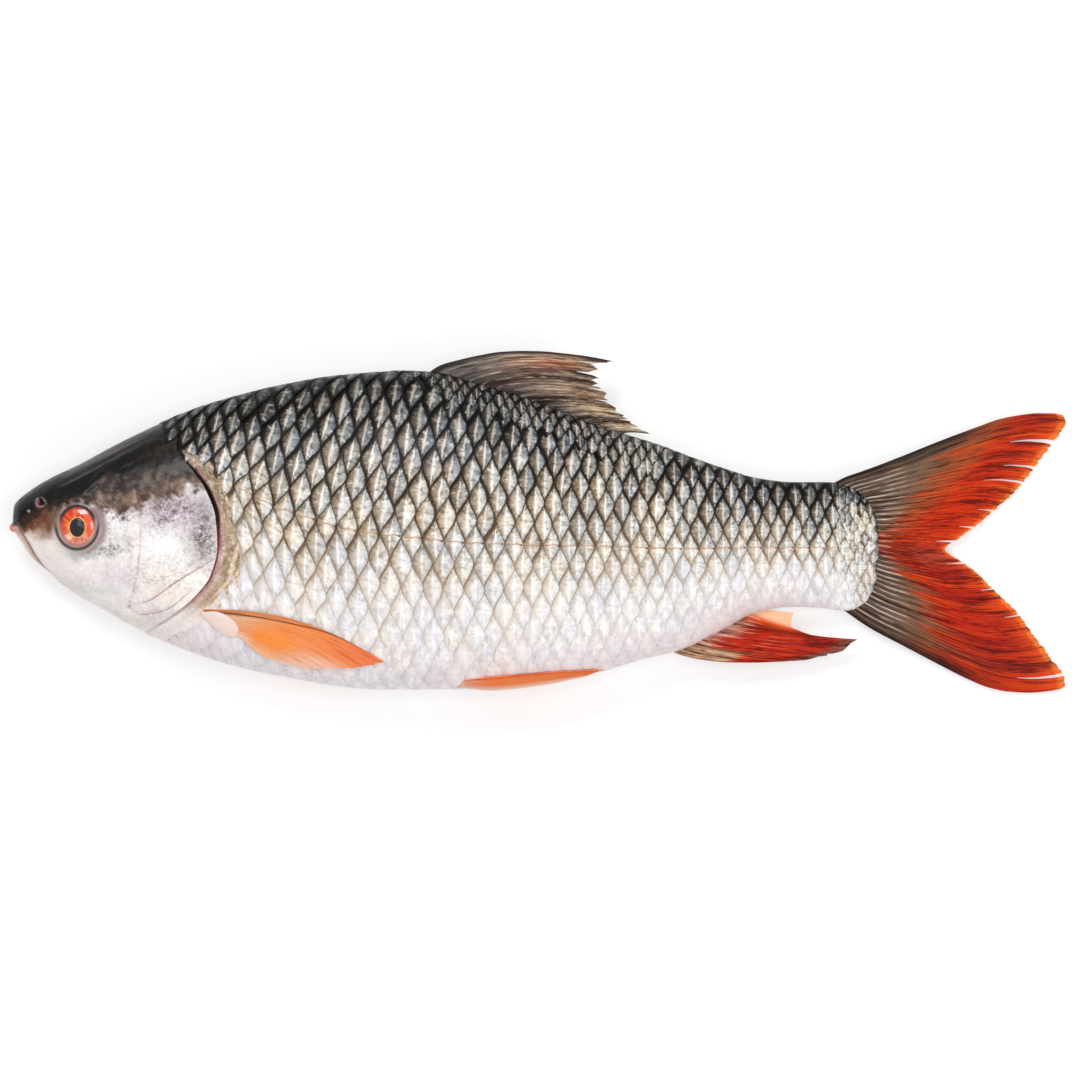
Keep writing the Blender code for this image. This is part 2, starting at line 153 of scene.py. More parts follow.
TAIL_BASE = [(328.4, 25.2), (339, 18), (343, 2), (342, -12), (338, -20), (332, -25.4)]
TAIL_FRONT = [
    (328.4, 25.2), (333, 27.6), (338.8, 29.6), (346, 32.2), (354.8, 35.6), (370.8, 42), (386.8, 48),
    (394.8, 50.8), (402.8, 52.4), (410, 53.2), (416, 53.2), (420.6, 52.4),
]
TAIL_TIPS = [
    (420.6, 52.4), (421.8, 50), (421, 46.6), (418.8, 43.6), (410.8, 33.2), (402.8, 22.8), (394.8, 15.6),
    (386.8, 8.8), (379, 3), (373.4, -1.4), (378.8, -5.4), (384.8, -9.6), (394.8, -19.2), (402.8, -26.8),
    (410.8, -37.6), (416.8, -45.6), (421.6, -53), (421.4, -56), (420, -57.2),
]
TAIL_REAR = [
    (332, -25.4), (342.8, -32.8), (354.8, -39.2), (370.8, -47.6), (382.8, -53.6), (390.8, -56.8),
    (398.8, -58.4), (406.8, -58.8), (414.8, -58.2), (420, -57.2),
]

# Tears in the fins' edges: share across the fin, share of the ray's length where it starts, and gap
TAIL_TEARS = [
    (0.085, 0.8, 0.012), (0.17, 0.84, 0.006), (0.22, 0.78, 0.006), (0.33, 0.9, 0.004), (0.4, 0.88, 0.006),
    (0.46, 0.8, 0.008), (0.555, 0.85, 0.006), (0.66, 0.92, 0.004), (0.76, 0.92, 0.004), (0.955, 0.8, 0.008),
]
DORSAL_TEARS = [
    (0.08, 0.9, 0.01), (0.2, 0.9, 0.02), (0.36, 0.88, 0.02), (0.5, 0.86, 0.02), (0.64, 0.84, 0.02),
    (0.76, 0.82, 0.03), (0.9, 0.75, 0.03),
]
TAIL_RAYS, DORSAL_RAYS, ANAL_RAYS, BREAST_RAYS, BELLY_FIN_RAYS = 34, 15, 12, 15, 8

# Fins folded back on the flank. The bow of the breast fin is by share across it.
BREAST_BASE = [(76, -25), (80, -28), (86, -33.5), (91, -36)]
BREAST_TIPS = [(149, -46.4), (141, -48.2), (131, -49.2), (119, -49.2), (108, -47)]
BREAST_BOW = [(0, 6), (0.4, 3.4), (1, -1.5)]
BELLY_FIN_START, BELLY_FIN_END = 176 * MM, 236 * MM
BELLY_FIN_UPPER = [(176, -54.4), (187, -52.4), (203, -50.8), (219, -49.6), (236, -48.8)]
BELLY_FIN_LOWER = [(176, -56.6), (195, -56.4), (211, -54.6), (223, -52.4), (236, -49.6)]
LOBE = [(75, -26.8), (80, -28.6), (86, -31.8), (92.4, -35.2)]

SIDE_NAMES = {1: "left", -1: "right"}


# Curves and the body's surface


def smooth_curve(points):
    """A function through the points that stays between neighbouring values."""
    x, y = (np.array(column, float) for column in zip(*points))
    chord = np.diff(y) / np.diff(x)
    before, after = chord[:-1], chord[1:]
    slope = np.zeros(len(x))
    same_way = before * after > 0
    slope[1:-1][same_way] = (2 * before * after)[same_way] / (before + after)[same_way]
    slope[0], slope[-1] = chord[0], chord[-1]

    def at(value):
        value = np.clip(np.asarray(value, float), x[0], x[-1])
        i = np.clip(np.searchsorted(x, value, side="right") - 1, 0, len(x) - 2)
        width = x[i + 1] - x[i]
        t = (value - x[i]) / width
        return (
            (1 + 2 * t) * (1 - t) ** 2 * y[i]
            + t * (1 - t) ** 2 * width * slope[i]
            + t**2 * (3 - 2 * t) * y[i + 1]
            + t**2 * (t - 1) * width * slope[i + 1]
        )

    return at


def by_station(points):
    """A smooth_curve that takes a station in metres and gives metres."""
    curve = smooth_curve(points)
    return lambda s: curve(np.asarray(s) / MM) * MM


def across(points):
    """A point on the smooth line through (station, level) points, by share of its length, in metres."""
    points = np.array(points, float)
    steps = np.linalg.norm(np.diff(points, axis=0), axis=1)
    share = np.concatenate([[0], np.cumsum(steps)]) / steps.sum()
    station = smooth_curve(list(zip(share, points[:, 0])))
    level = smooth_curve(list(zip(share, points[:, 1])))
    return lambda u: np.stack([station(u), level(u)], axis=-1) * MM


def ease(low, high, value):
    """0 below low, 1 above high, and a smooth rise between."""
    t = np.clip((np.asarray(value, float) - low) / (high - low), 0, 1)
    return t * t * (3 - 2 * t)


def bell(value, width):
    """1 where value is 0, falling off smoothly to nearly 0 at twice the width."""
    return np.exp(-((np.asarray(value, float) / width) ** 2))


def patch(s, h, station, level, along, over):
    """1 at a station and level, falling off to nearly 0 at twice along and twice over. All in millimetres."""
    return bell(s - station, along) * bell(h - level, over)


def stacked(*columns):
    """Vectors from columns, which may be arrays that only broadcast together."""
    return np.stack(np.broadcast_arrays(*columns), axis=-1)


def cloud(points, size):
    """Fractal noise from about -1 to 1 at points. size is the width of its largest patches."""
    flat = np.reshape(points, (-1, 3)) / size
    values = [noise.fractal(Vector(point), 0.9, 2.1, 4) for point in flat]
    return np.reshape(values, np.shape(points)[:-1])


back_level = by_station(BACK)
belly_level = by_station(BELLY)
flank_width = by_station(FLANK)
back_boxiness = smooth_curve(BACK_BOXINESS)
belly_boxiness = smooth_curve(BELLY_BOXINESS)
gill_edge = smooth_curve(GILL_EDGE)
lateral_level = by_station(LATERAL_LINE)
scale_pitch = by_station(SCALE_PITCH)
column_lean = smooth_curve(COLUMN_LEAN)


def middle_height(s):
    """Height of the fish's middle plane above the table: level at the head, sagging to the tail."""
    return MIDDLE_REST + (MIDDLE_TAIL - MIDDLE_REST) * ease(SAG_START, SAG_END, s)


def in_world(points):
    """Fish-frame points (s, h, w) as x, y and z. What would be under the table is pressed flat on it."""
    points = np.asarray(points, float)
    s, h, w = points[..., 0], points[..., 1], points[..., 2]
    z = middle_height(s) + w
    soft = 0.4 * MM
    z = np.where(z > soft, z, soft * np.exp(np.minimum(z - soft, 0) / soft))
    return stacked(s - TOTAL_LENGTH / 2, h - (FIN_TOP + TAIL_BOTTOM) / 2, z)


def section(s, angle):
    """Level and half-width of the body's surface at an angle: 90 degrees is the back, -90 the belly."""
    centre = (back_level(s) + belly_level(s)) / 2
    reach = (back_level(s) - belly_level(s)) / 2
    boxiness = np.where(np.sin(angle) > 0, back_boxiness(s / MM), belly_boxiness(s / MM))
    up = np.sign(np.sin(angle)) * np.abs(np.sin(angle)) ** (2 / boxiness)
    out = np.abs(np.cos(angle)) ** (2 / boxiness)
    return centre + reach * up, flank_width(s) * out


def half_width_at(s, h):
    """How far out the flank is at a station and a level."""
    centre = (back_level(s) + belly_level(s)) / 2
    reach = (back_level(s) - belly_level(s)) / 2
    x = np.clip((h - centre) / reach, -1, 1)
    boxiness = np.where(x > 0, back_boxiness(s / MM), belly_boxiness(s / MM))
    return flank_width(s) * (1 - np.abs(x) ** boxiness) ** (1 / boxiness)


STATION_STEP = 0.25 * MM
SHARE_STEPS = 480
STATIONS = np.arange(0, BODY_END + STATION_STEP / 2, STATION_STEP)


def flank_table():
    """Levels, half-widths and half-girths by station and by share of the way round from the back."""
    angles = np.linspace(math.pi / 2, -math.pi / 2, 721)
    shares = np.linspace(0, 1, SHARE_STEPS + 1)
    level, width = np.empty((2, len(STATIONS), len(shares)))
    girth = np.empty(len(STATIONS))
    for i, s in enumerate(STATIONS):
        h, w = section(s, angles)
        run = np.concatenate([[0], np.cumsum(np.hypot(np.diff(h), np.diff(w)))])
        level[i] = np.interp(shares, run / run[-1], h)
        width[i] = np.interp(shares, run / run[-1], w)
        girth[i] = run[-1]
    return level, width, girth


LEVELS, WIDTHS, GIRTHS = flank_table()


def half_girth(s):
    """Length of the way round one side, from the back to the belly."""
    return np.interp(s, STATIONS, GIRTHS)


def on_body(s, share):
    """Points (s, h, w) on the body; shares under 0 or over 1 go on round to the right side."""
    s, share = np.broadcast_arrays(np.asarray(s, float), np.asarray(share, float))
    side = np.where((share < 0) | (share > 1), -1.0, 1.0)
    share = np.abs(share)
    share = np.where(share > 1, 2 - share, share)
    x = np.clip(s / STATION_STEP, 0, len(STATIONS) - 1.001)
    y = np.clip(share * SHARE_STEPS, 0, SHARE_STEPS - 0.001)
    i, j = x.astype(int), y.astype(int)
    fx, fy = x - i, y - j

    def sample(table):
        near = table[i, j] * (1 - fy) + table[i, j + 1] * fy
        far = table[i + 1, j] * (1 - fy) + table[i + 1, j + 1] * fy
        return near * (1 - fx) + far * fx

    return stacked(s, sample(LEVELS), sample(WIDTHS) * side)


def around_body(columns):
    """Shares and sides of points round the whole body: down its left side and up its right."""
    turn = np.arange(columns) / columns * 2
    left = turn <= 1
    return np.where(left, turn, 2 - turn), np.where(left, 1.0, -1.0)


def body_normals(s, share):
    """Outward unit normals of the body in the fish's frame."""
    step = 0.8 * MM
    share_step = step / half_girth(s)
    low, high = np.maximum(s - step, 0), np.minimum(s + step, BODY_END)
    along = on_body(high, share) - on_body(low, share)
    down = on_body(s, share + share_step) - on_body(s, share - share_step)
    normal = np.cross(down, along)
    normal /= np.linalg.norm(normal, axis=-1, keepdims=True) + 1e-12
    return normal


def share_at(s, h):
    """Share of the way round from the back to the belly at stations and levels."""
    shares = np.linspace(0, 1, SHARE_STEPS + 1)
    rows = np.clip(np.rint(np.asarray(s) / STATION_STEP).astype(int), 0, len(STATIONS) - 1)
    pairs = zip(np.ravel(rows), np.ravel(h))
    return np.reshape([np.interp(-level, -LEVELS[row], shares) for row, level in pairs], np.shape(s))


def depth_share(s, h):
    """How far down the flank a point is, from 0 at the back to 1 at the belly."""
    return np.clip((back_level(s) - h) / (back_level(s) - belly_level(s) + 1e-9), 0, 1)


def distance_to_line(s, h, line):
    """Distance in metres from points to the line through (station, level) points in millimetres."""
    curve = across(line)(np.linspace(0, 1, 60))
    nearest = np.full(np.shape(s), np.inf)
    for start, end in zip(curve[:-1], curve[1:]):
        run = end - start
        right, up = s - start[0], h - start[1]
        t = np.clip((right * run[0] + up * run[1]) / (run @ run), 0, 1)
        nearest = np.minimum(nearest, np.hypot(right - t * run[0], up - t * run[1]))
    return nearest


def cover_rise(share, along):
    """How far a gill cover stands off the flank, by share round the body and share of the head's length."""
    on_cover = np.clip(np.sin(np.pi * share) * 1.6 - 0.5, 0, 1)
    return GILL_COVER_RISE * np.maximum(0, (along - 0.55) / 0.45) ** 1.5 * on_cover


def from_eye(s, h):
    """Distance from the middle of the eye, where 1 is the edge of the iris."""
    return np.hypot((s - EYE_STATION) / IRIS_WIDTH, (h - EYE_LEVEL) / IRIS_HEIGHT)


def from_nostril(s, h):
    """Distance from the middle of the nostril, which is a little longer along the head."""
    return np.hypot((s - NOSTRIL[0]) / 1.1, h - NOSTRIL[1])


def from_pore(s, h):
    """Distance from the pale pore in front of the nostril."""
    return np.hypot(s - PORE[0], h - PORE[1])


# Meshes


def mesh_piece(name, points, faces, material, **attributes):
    """A piece of the fish from world points and faces of equal corner count.

    Each attribute has a number or a vector for each point.
    """
    points = np.array(points, np.float32).reshape(-1, 3)
    points[:, 2] = np.maximum(points[:, 2], 0)
    faces = np.asarray(faces, np.int32)
    mesh = bpy.data.meshes.new(name)
    mesh.vertices.add(len(points))
    mesh.vertices.foreach_set("co", points.ravel())
    mesh.loops.add(faces.size)
    mesh.loops.foreach_set("vertex_index", faces.ravel())
    mesh.polygons.add(len(faces))
    mesh.polygons.foreach_set("loop_start", np.arange(0, faces.size, faces.shape[1], dtype=np.int32))
    mesh.update(calc_edges=True)
    mesh.validate()
    for key, values in attributes.items():
        values = np.asarray(values, np.float32)
        kind, field = ("FLOAT", "value") if values.size == len(points) else ("FLOAT_VECTOR", "vector")
        mesh.attributes.new(key, kind, "POINT").data.foreach_set(field, values.ravel())
    mesh.shade_smooth()
    mesh.set_sharp_from_angle(angle=math.radians(50))
    mesh.materials.append(material)
    obj = bpy.data.objects.new(name, mesh)
    bpy.context.scene.collection.objects.link(obj)
    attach(obj, "root")
    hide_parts("fish")


def grid_faces(rows, columns, wrap=False):
    """Quads over a grid of points, row by row. wrap joins the last column to the first.

    Where a piece differs in side only, the slice ::-side turns the corners of its quads round.
    """
    last = columns if wrap else columns - 1
    i, j = np.meshgrid(np.arange(rows - 1), np.arange(last), indexing="ij")
    a = i * columns + j
    b = i * columns + (j + 1) % columns
    return np.stack([a, b, b + columns, a + columns], axis=-1).reshape(-1, 4)


def tube(path, radii, sides=8):
    """Points and quads of a closed tapered tube along a path of world points."""
    path = np.asarray(path, float)
    along = np.gradient(path, axis=0)
    along /= np.linalg.norm(along, axis=1, keepdims=True)
    up = np.array([0.0, 0.0, 1.0])
    beside = np.cross(along, up)
    beside /= np.linalg.norm(beside, axis=1, keepdims=True) + 1e-12
    over = np.cross(beside, along)
    turn = np.linspace(0, 2 * math.pi, sides, endpoint=False)
    radii = np.asarray(radii)[:, None, None]
    rings = path[:, None] + radii * (
        np.cos(turn)[None, :, None] * beside[:, None] + np.sin(turn)[None, :, None] * over[:, None]
    )
    ends = [np.repeat(path[:1], sides, 0)[None], rings, np.repeat(path[-1:], sides, 0)[None]]
    points = np.concatenate(ends)
    return points.reshape(-1, 3), grid_faces(len(points), sides, wrap=True)


def joined_tubes(parts):
    """Points and faces of several tubes as one mesh."""
    points, faces, start = [], [], 0
    for part_points, part_faces in parts:
        points.append(part_points)
        faces.append(part_faces + start)
        start += len(part_points)
    return np.concatenate(points), np.concatenate(faces)


# Materials


def linear(colour):
    """An sRGB colour from 0 to 255 as linear RGBA."""
    c = np.asarray(colour, float) / 255
    c = np.where(c <= 0.04045, c / 12.92, ((c + 0.055) / 1.055) ** 2.4)
    return (*c, 1.0)


class Nodes:
    """Short names for the shader nodes of one material."""

    def __init__(self, name, **settings):
        self.material = bpy.data.materials.new(name)
        self.material.use_nodes = True
        self.tree = self.material.node_tree
        self.shader = self.tree.nodes["Principled BSDF"]
        for key, value in settings.items():
            self.shader.inputs[key.replace("_", " ")].default_value = value

    def give(self, socket, value):
        """Link a socket to value, or set it. Three numbers for a colour socket are sRGB."""
        if isinstance(value, bpy.types.NodeSocket):
            self.tree.links.new(value, socket)
        elif isinstance(value, tuple) and len(value) == 3 and socket.type == "RGBA":
            socket.default_value = linear(value)
        else:
            socket.default_value = value

    def math(self, operation, *values):
        node = self.tree.nodes.new("ShaderNodeMath")
        node.operation = operation
        for socket, value in zip(node.inputs, values):
            self.give(socket, value)
        return node.outputs[0]

    def times(self, first, *others):
        """The product of all values."""
        for other in others:
            first = self.math("MULTIPLY", first, other)
        return first

    def scaled(self, value, factor, offset=0.0):
        """value times factor, plus offset."""
        return self.math("MULTIPLY_ADD", value, factor, offset)

    def rise(self, value, low, high):
        """0 at low, 1 at high, and a smooth change between. low may be above high."""
        node = self.tree.nodes.new("ShaderNodeMapRange")
        node.interpolation_type = "SMOOTHSTEP"
        for key, given in (("Value", value), ("From Min", low), ("From Max", high)):
            self.give(node.inputs[key], given)
        return node.outputs["Result"]

    def mix(self, factor, a, b, blend="MIX"):
        node = self.tree.nodes.new("ShaderNodeMix")
        node.data_type = "RGBA"
        node.blend_type = blend
        colour_a, colour_b = [socket for socket in node.inputs if socket.type == "RGBA"]
        self.give(node.inputs["Factor"], factor)
        self.give(colour_a, a)
        self.give(colour_b, b)
        return next(socket for socket in node.outputs if socket.type == "RGBA")

    def shaded(self, colour, shade):
        """colour, multiplied by shade."""
        return self.mix(1.0, colour, shade, "MULTIPLY")

    def ramp(self, factor, stops):
        """A colour or a number that changes through (position, value) stops."""
        node = self.tree.nodes.new("ShaderNodeValToRGB")
        ramp = node.color_ramp
        while len(ramp.elements) < len(stops):
            ramp.elements.new(0.5)
        for element, (position, value) in zip(ramp.elements, stops):
            element.position = position
            element.color = linear(value) if isinstance(value, tuple) else (value, value, value, 1)
        self.give(node.inputs["Fac"], factor)
        return node.outputs["Color"]

    def attribute(self, name):
        """The x, y and z of a point attribute. A number is in x."""
        node = self.tree.nodes.new("ShaderNodeAttribute")
        node.attribute_name = name
        split = self.tree.nodes.new("ShaderNodeSeparateXYZ")
        self.tree.links.new(node.outputs["Vector"], split.inputs[0])
        return tuple(split.outputs)

    def painted(self):
        """The colour painted on the points."""
        node = self.tree.nodes.new("ShaderNodeAttribute")
        node.attribute_name = "tint"
        return node.outputs["Color"]

    def vector(self, x, y, z):
        node = self.tree.nodes.new("ShaderNodeCombineXYZ")
        for socket, value in zip(node.inputs, (x, y, z)):
            self.give(socket, value)
        return node.outputs[0]

    def place(self):
        """The object's own coordinates, in metres."""
        return self.tree.nodes.new("ShaderNodeTexCoord").outputs["Object"]

    def noise(self, vector, scale, detail=3.0, roughness=0.55):
        node = self.tree.nodes.new("ShaderNodeTexNoise")
        self.give(node.inputs["Vector"], vector)
        self.give(node.inputs["Scale"], scale)
        self.give(node.inputs["Detail"], detail)
        self.give(node.inputs["Roughness"], roughness)
        return node.outputs["Fac"]

    def cells(self, vector):
        """A random value for each cell of a cellular pattern."""
        node = self.tree.nodes.new("ShaderNodeTexVoronoi")
        self.give(node.inputs["Vector"], vector)
        self.give(node.inputs["Scale"], 1.0)
        return self.math("ADD", node.outputs["Color"], 0.0)

    def bump(self, height, distance):
        """Roughen the surface by height, where 1 is a distance in metres."""
        node = self.tree.nodes.new("ShaderNodeBump")
        self.give(node.inputs["Height"], height)
        self.give(node.inputs["Distance"], distance)
        self.give(node.inputs["Strength"], 1.0)
        self.tree.links.new(node.outputs[0], self.shader.inputs["Normal"])

    def colour(self, value):
        self.give(self.shader.inputs["Base Color"], value)

    def roughness(self, value):
        self.give(self.shader.inputs["Roughness"], value)


# Colours of a scale's parts, by depth from 0 at the back to 1 at the belly
# The warm front half of each scale: its own tint, painted darker as shade
SCALE_FRONT_SHADED_WARM = [
    (0, (34, 30, 27)), (0.1, (80, 71, 61)), (0.2, (130, 114, 96)), (0.32, (172, 152, 128)),
    (0.45, (214, 194, 168)), (0.6, (230, 216, 200)), (0.78, (240, 234, 230)), (1, (238, 230, 230)),
]

# The cool rear half of each scale: its own tint, painted lighter as if lit
SCALE_REAR_LIT_COOL = [
    (0, (44, 44, 44)), (0.1, (104, 106, 108)), (0.2, (152, 155, 158)), (0.32, (198, 198, 196)),
    (0.45, (228, 223, 217)), (0.6, (236, 233, 230)), (0.78, (238, 236, 239)), (1, (234, 228, 236)),
]

# The painted highlight along each scale's ridge, by depth
SCALE_HIGHLIGHT_ON_RIDGE = [
    (0, (92, 88, 82)), (0.08, (180, 172, 162)), (0.2, (240, 232, 222)), (0.5, (255, 252, 246)),
    (1, (254, 253, 252)),
]

# The dark colour along the seams: pigment with painted shade
SCALE_FRINGE = [
    (0, (8, 7, 7)), (0.16, (15, 12, 10)), (0.26, (36, 27, 19)), (0.36, (70, 51, 32)),
    (0.5, (116, 88, 58)), (0.62, (168, 140, 106)), (0.78, (214, 196, 172)), (1, (228, 218, 214)),
]

SCALE_SEAM = [
    (0, (4, 4, 4)), (0.24, (9, 7, 6)), (0.4, (36, 25, 16)), (0.55, (90, 66, 42)),
    (0.7, (160, 134, 102)), (0.82, (196, 178, 156)), (1, (214, 202, 198)),
]


class ScaleNodes(Nodes):
    """Nodes of the silver scales, with what is known at each of their points.

    x and y are places on a scale in pitches, depth is how far down the flank it is, rear and front are
    how far it is to the scale's edges, and blush is how pink the skin is. random, other and third are
    chance values of each scale. strokes and patches are noise with long and with round marks.
    """

    def __init__(self):
        super().__init__("scale", Coat_Weight=0.08, Coat_Roughness=0.2, Specular_IOR_Level=0.12)
        self.x, self.y, depth = self.attribute("local")
        self.rear, self.front, self.blush = self.attribute("edges")
        self.random, self.other, self.third = self.attribute("random")
        self.depth = self.math("ADD", depth, self.scaled(self.random, 0.06, -0.03))
        fanned = self.math("DIVIDE", self.y, self.scaled(self.math("ABSOLUTE", self.x), 1.1, 1.0))
        drawn = self.vector(self.scaled(self.x, 2.2), self.scaled(fanned, 6.0), self.scaled(self.other, 40.0))
        self.strokes = self.noise(drawn, 1.0, 5.0, 0.72)
        self.patches = self.noise(self.spread(4.0, 2.6, self.scaled(self.random, 60.0)), 1.0, 4.0, 0.7)

    def spread(self, along, over, slice_at):
        """Coordinates on the scale for a pattern with so many patches along and over it."""
        return self.vector(self.scaled(self.x, along), self.scaled(self.y, over), slice_at)

    def by_depth(self, stops):
        """A colour or a number that changes down the flank."""
        return self.ramp(self.depth, stops)

    def field(self):
        """Colour of a scale's face: warm in front and cool behind, the front half painted darker as shade and
        the rear half painted lighter as lit, with painted glints, and like crumpled foil on the belly, whose
        pale facets are painted glints.
        """
        side = self.rise(self.math("ADD", self.x, self.scaled(self.patches, 0.5, -0.25)), -0.15, 0.15)
        field = self.mix(side, self.by_depth(SCALE_FRONT_SHADED_WARM), self.by_depth(SCALE_REAR_LIT_COOL))
        hue = self.noise(self.place(), 60.0, 4.0, 0.8)
        rainbow = self.mix(self.rise(hue, 0.42, 0.58), (255, 246, 228), (236, 245, 255))
        field = self.mix(0.7, field, self.shaded(field, rainbow))
        # On the belly, cells of pale and lilac-grey facets: the pale facets are painted glints of crumpled
        # silver
        facets = self.cells(self.spread(4.6, 2.8, self.scaled(self.other, 40.0)))
        foil = self.ramp(facets, [
            (0.25, (216, 207, 214)), (0.42, (233, 225, 228)), (0.6, (240, 234, 230)), (0.76, (254, 251, 248)),
        ])
        field = self.mix(self.scaled(self.rise(self.depth, 0.5, 0.85), 0.6), field, foil)
        field = self.mix(self.scaled(self.rise(self.depth, 0.9, 0.99), 0.6), field, (230, 220, 226))
        light = self.math("ADD", self.scaled(self.strokes, 0.62), self.scaled(self.patches, 0.38))
        shade = self.by_depth([(0, 0.3), (0.45, 0.4), (0.6, 0.62), (0.75, 0.86), (1, 0.92)])
        field = self.mix(self.rise(light, 0.53, 0.38), field, self.shaded(field, shade))
        mottled = self.by_depth([(0, 1.0), (0.5, 0.6), (0.7, 0.1)])
        tone = self.ramp(self.third, [(0, (186, 186, 186)), (0.5, (250, 250, 250)), (1, (255, 255, 255))])
        field = self.shaded(field, self.mix(mottled, (255, 255, 255), tone))
        # Painted glints on the palest strokes
        glint = self.times(self.rise(light, 0.53, 0.64), self.by_depth([(0, 0.35), (0.3, 0.8), (1, 0.8)]))
        field = self.mix(glint, field, self.mix(side, (246, 236, 222), (246, 250, 253)))
        return self.with_edge_shade(field)

    def with_edge_shade(self, field):
        """field, darker towards the front and rear edges of a scale: partly dark pigment, partly painted
        shade beside the overlapping edges.
        """
        dim = self.by_depth([(0, 0.3), (0.4, 0.48), (0.62, 0.68), (0.78, 0.85), (1, 0.95)])
        dimmed = self.shaded(field, dim)
        uneven = self.scaled(self.strokes, 0.4, -0.2)
        near_rear = self.rise(self.math("ADD", self.rear, uneven), 0.26, 0.02)
        near_front = self.rise(self.math("ADD", self.front, uneven), 0.4, 0.02)
        return self.mix(self.scaled(near_rear, 0.5), self.mix(near_front, field, dimmed), dimmed)

    def with_ridge_highlight(self, field):
        """field with the painted highlight along the ridge that runs across each scale, bent and broken by
        chance.
        """
        bend = self.math(
            "SUBTRACT", self.scaled(self.patches, 0.3, -0.15), self.scaled(self.other, 0.12, -0.06)
        )
        off_ridge = self.math("ABSOLUTE", self.math("SUBTRACT", self.x, bend))
        inside = self.rise(self.math("ABSOLUTE", self.y), 0.85, 0.1)
        width = self.times(inside, self.scaled(self.third, 0.08, 0.09))
        vivid = self.by_depth([(0, 0.8), (0.35, 0.88), (0.6, 0.8), (0.8, 0.5), (1, 0.15)])
        ridge = self.times(
            self.rise(off_ridge, width, self.scaled(width, 0.1)), self.rise(self.strokes, 0.28, 0.5),
            vivid, self.scaled(self.random, 0.4, 0.6),
        )
        return self.mix(ridge, field, self.by_depth(SCALE_HIGHLIGHT_ON_RIDGE))

    def fringe(self):
        """Where the dark colour along the seams and at the upper and lower tips is: pigment, with painted
        shade beside the overlapping edges.
        """
        reach = self.by_depth([(0, 0.28), (0.12, 0.19), (0.28, 0.12), (0.5, 0.085), (0.75, 0.05), (1, 0.04)])
        tips = self.by_depth([(0, 0.5), (0.14, 0.34), (0.3, 0.24), (0.5, 0.15), (0.75, 0.08), (1, 0.05)])
        tooth = self.scaled(self.strokes, 0.24, -0.12)
        near_seam = self.math("ADD", self.math("MINIMUM", self.scaled(self.rear, 1.5), self.front), tooth)
        at_seam = self.rise(near_seam, self.scaled(reach, 1.0, 0.03), self.scaled(reach, 0.3))
        low, high = self.math("SUBTRACT", 0.96, tips), self.math("SUBTRACT", 1.12, tips)
        at_tip = self.rise(self.math("ADD", self.math("ABSOLUTE", self.y), tooth), low, high)
        return self.math("MAXIMUM", at_seam, at_tip)

    def seamed(self, field, fringe):
        """field with the dark pigment and painted shade of the fringe, and the thin line of each seam."""
        strength = self.by_depth([
            (0, 1.0), (0.3, 0.92), (0.5, 0.74), (0.65, 0.42), (0.8, 0.2), (0.95, 0.1), (1, 0.05),
        ])
        colour = self.mix(self.times(fringe, strength), field, self.by_depth(SCALE_FRINGE))
        line = self.rise(self.math("MINIMUM", self.rear, self.front), 0.045, 0.01)
        thin = self.by_depth([(0, 0.95), (0.5, 0.82), (0.66, 0.56), (0.8, 0.34), (0.93, 0.16), (1, 0.06)])
        line = self.times(line, self.rise(self.patches, 0.3, 0.5), thin)
        return self.mix(line, colour, self.by_depth(SCALE_SEAM))


def scale_material():
    """Silver scales: dark pigment and painted shade in the seams, a painted highlight along the ridge, a warm
    front half painted darker as shade, a cool rear half painted lighter as lit, and painted glints.
    """
    n = ScaleNodes()
    fringe = n.fringe()
    colour = n.seamed(n.with_ridge_highlight(n.field()), fringe)
    n.colour(n.mix(n.times(n.blush, n.rise(n.patches, 0.3, 0.7)), colour, (240, 206, 196)))
    n.roughness(n.ramp(fringe, [(0, 0.3), (1, 0.55)]))
    n.bump(n.math("ADD", n.scaled(n.strokes, 0.7), n.scaled(n.patches, 0.3)), 0.0002)
    return n.material


def skin_material():
    """Wet skin whose broad colour is painted on its points, with dark and pale flecks and fine pores."""
    n = Nodes("skin", Roughness=0.36, Coat_Weight=0.1, Coat_Roughness=0.14, Specular_IOR_Level=0.16)
    dark_fleck, pale_fleck, grain = n.attribute("flecks")
    at = n.place()
    coarse = n.noise(at, 230.0, 5.0, 0.72)
    fine = n.noise(at, 800.0, 5.0, 0.75)
    speck = n.math("ADD", n.scaled(coarse, 0.45), n.scaled(fine, 0.55))
    toned = n.mix(n.times(n.rise(speck, 0.51, 0.41), dark_fleck), n.painted(), (58, 48, 50))
    toned = n.mix(n.times(n.rise(speck, 0.51, 0.6), pale_fleck), toned, (250, 244, 243))
    curl = n.noise(at, 340.0, 3.0, 0.6)
    for level, flecks, over in ((0.47, pale_fleck, (250, 246, 247)), (0.56, dark_fleck, (84, 68, 70))):
        vein = n.rise(n.math("ABSOLUTE", n.scaled(curl, 1.0, -level)), 0.02, 0.004)
        toned = n.mix(n.times(vein, flecks, 0.6), toned, over)
    soft = n.ramp(fine, [(0.36, 0.84), (0.52, 1.0)])
    n.colour(n.mix(grain, toned, n.shaded(toned, soft)))
    n.bump(n.math("ADD", n.scaled(coarse, 0.6), n.scaled(fine, 0.4)), 0.00025)
    return n.material


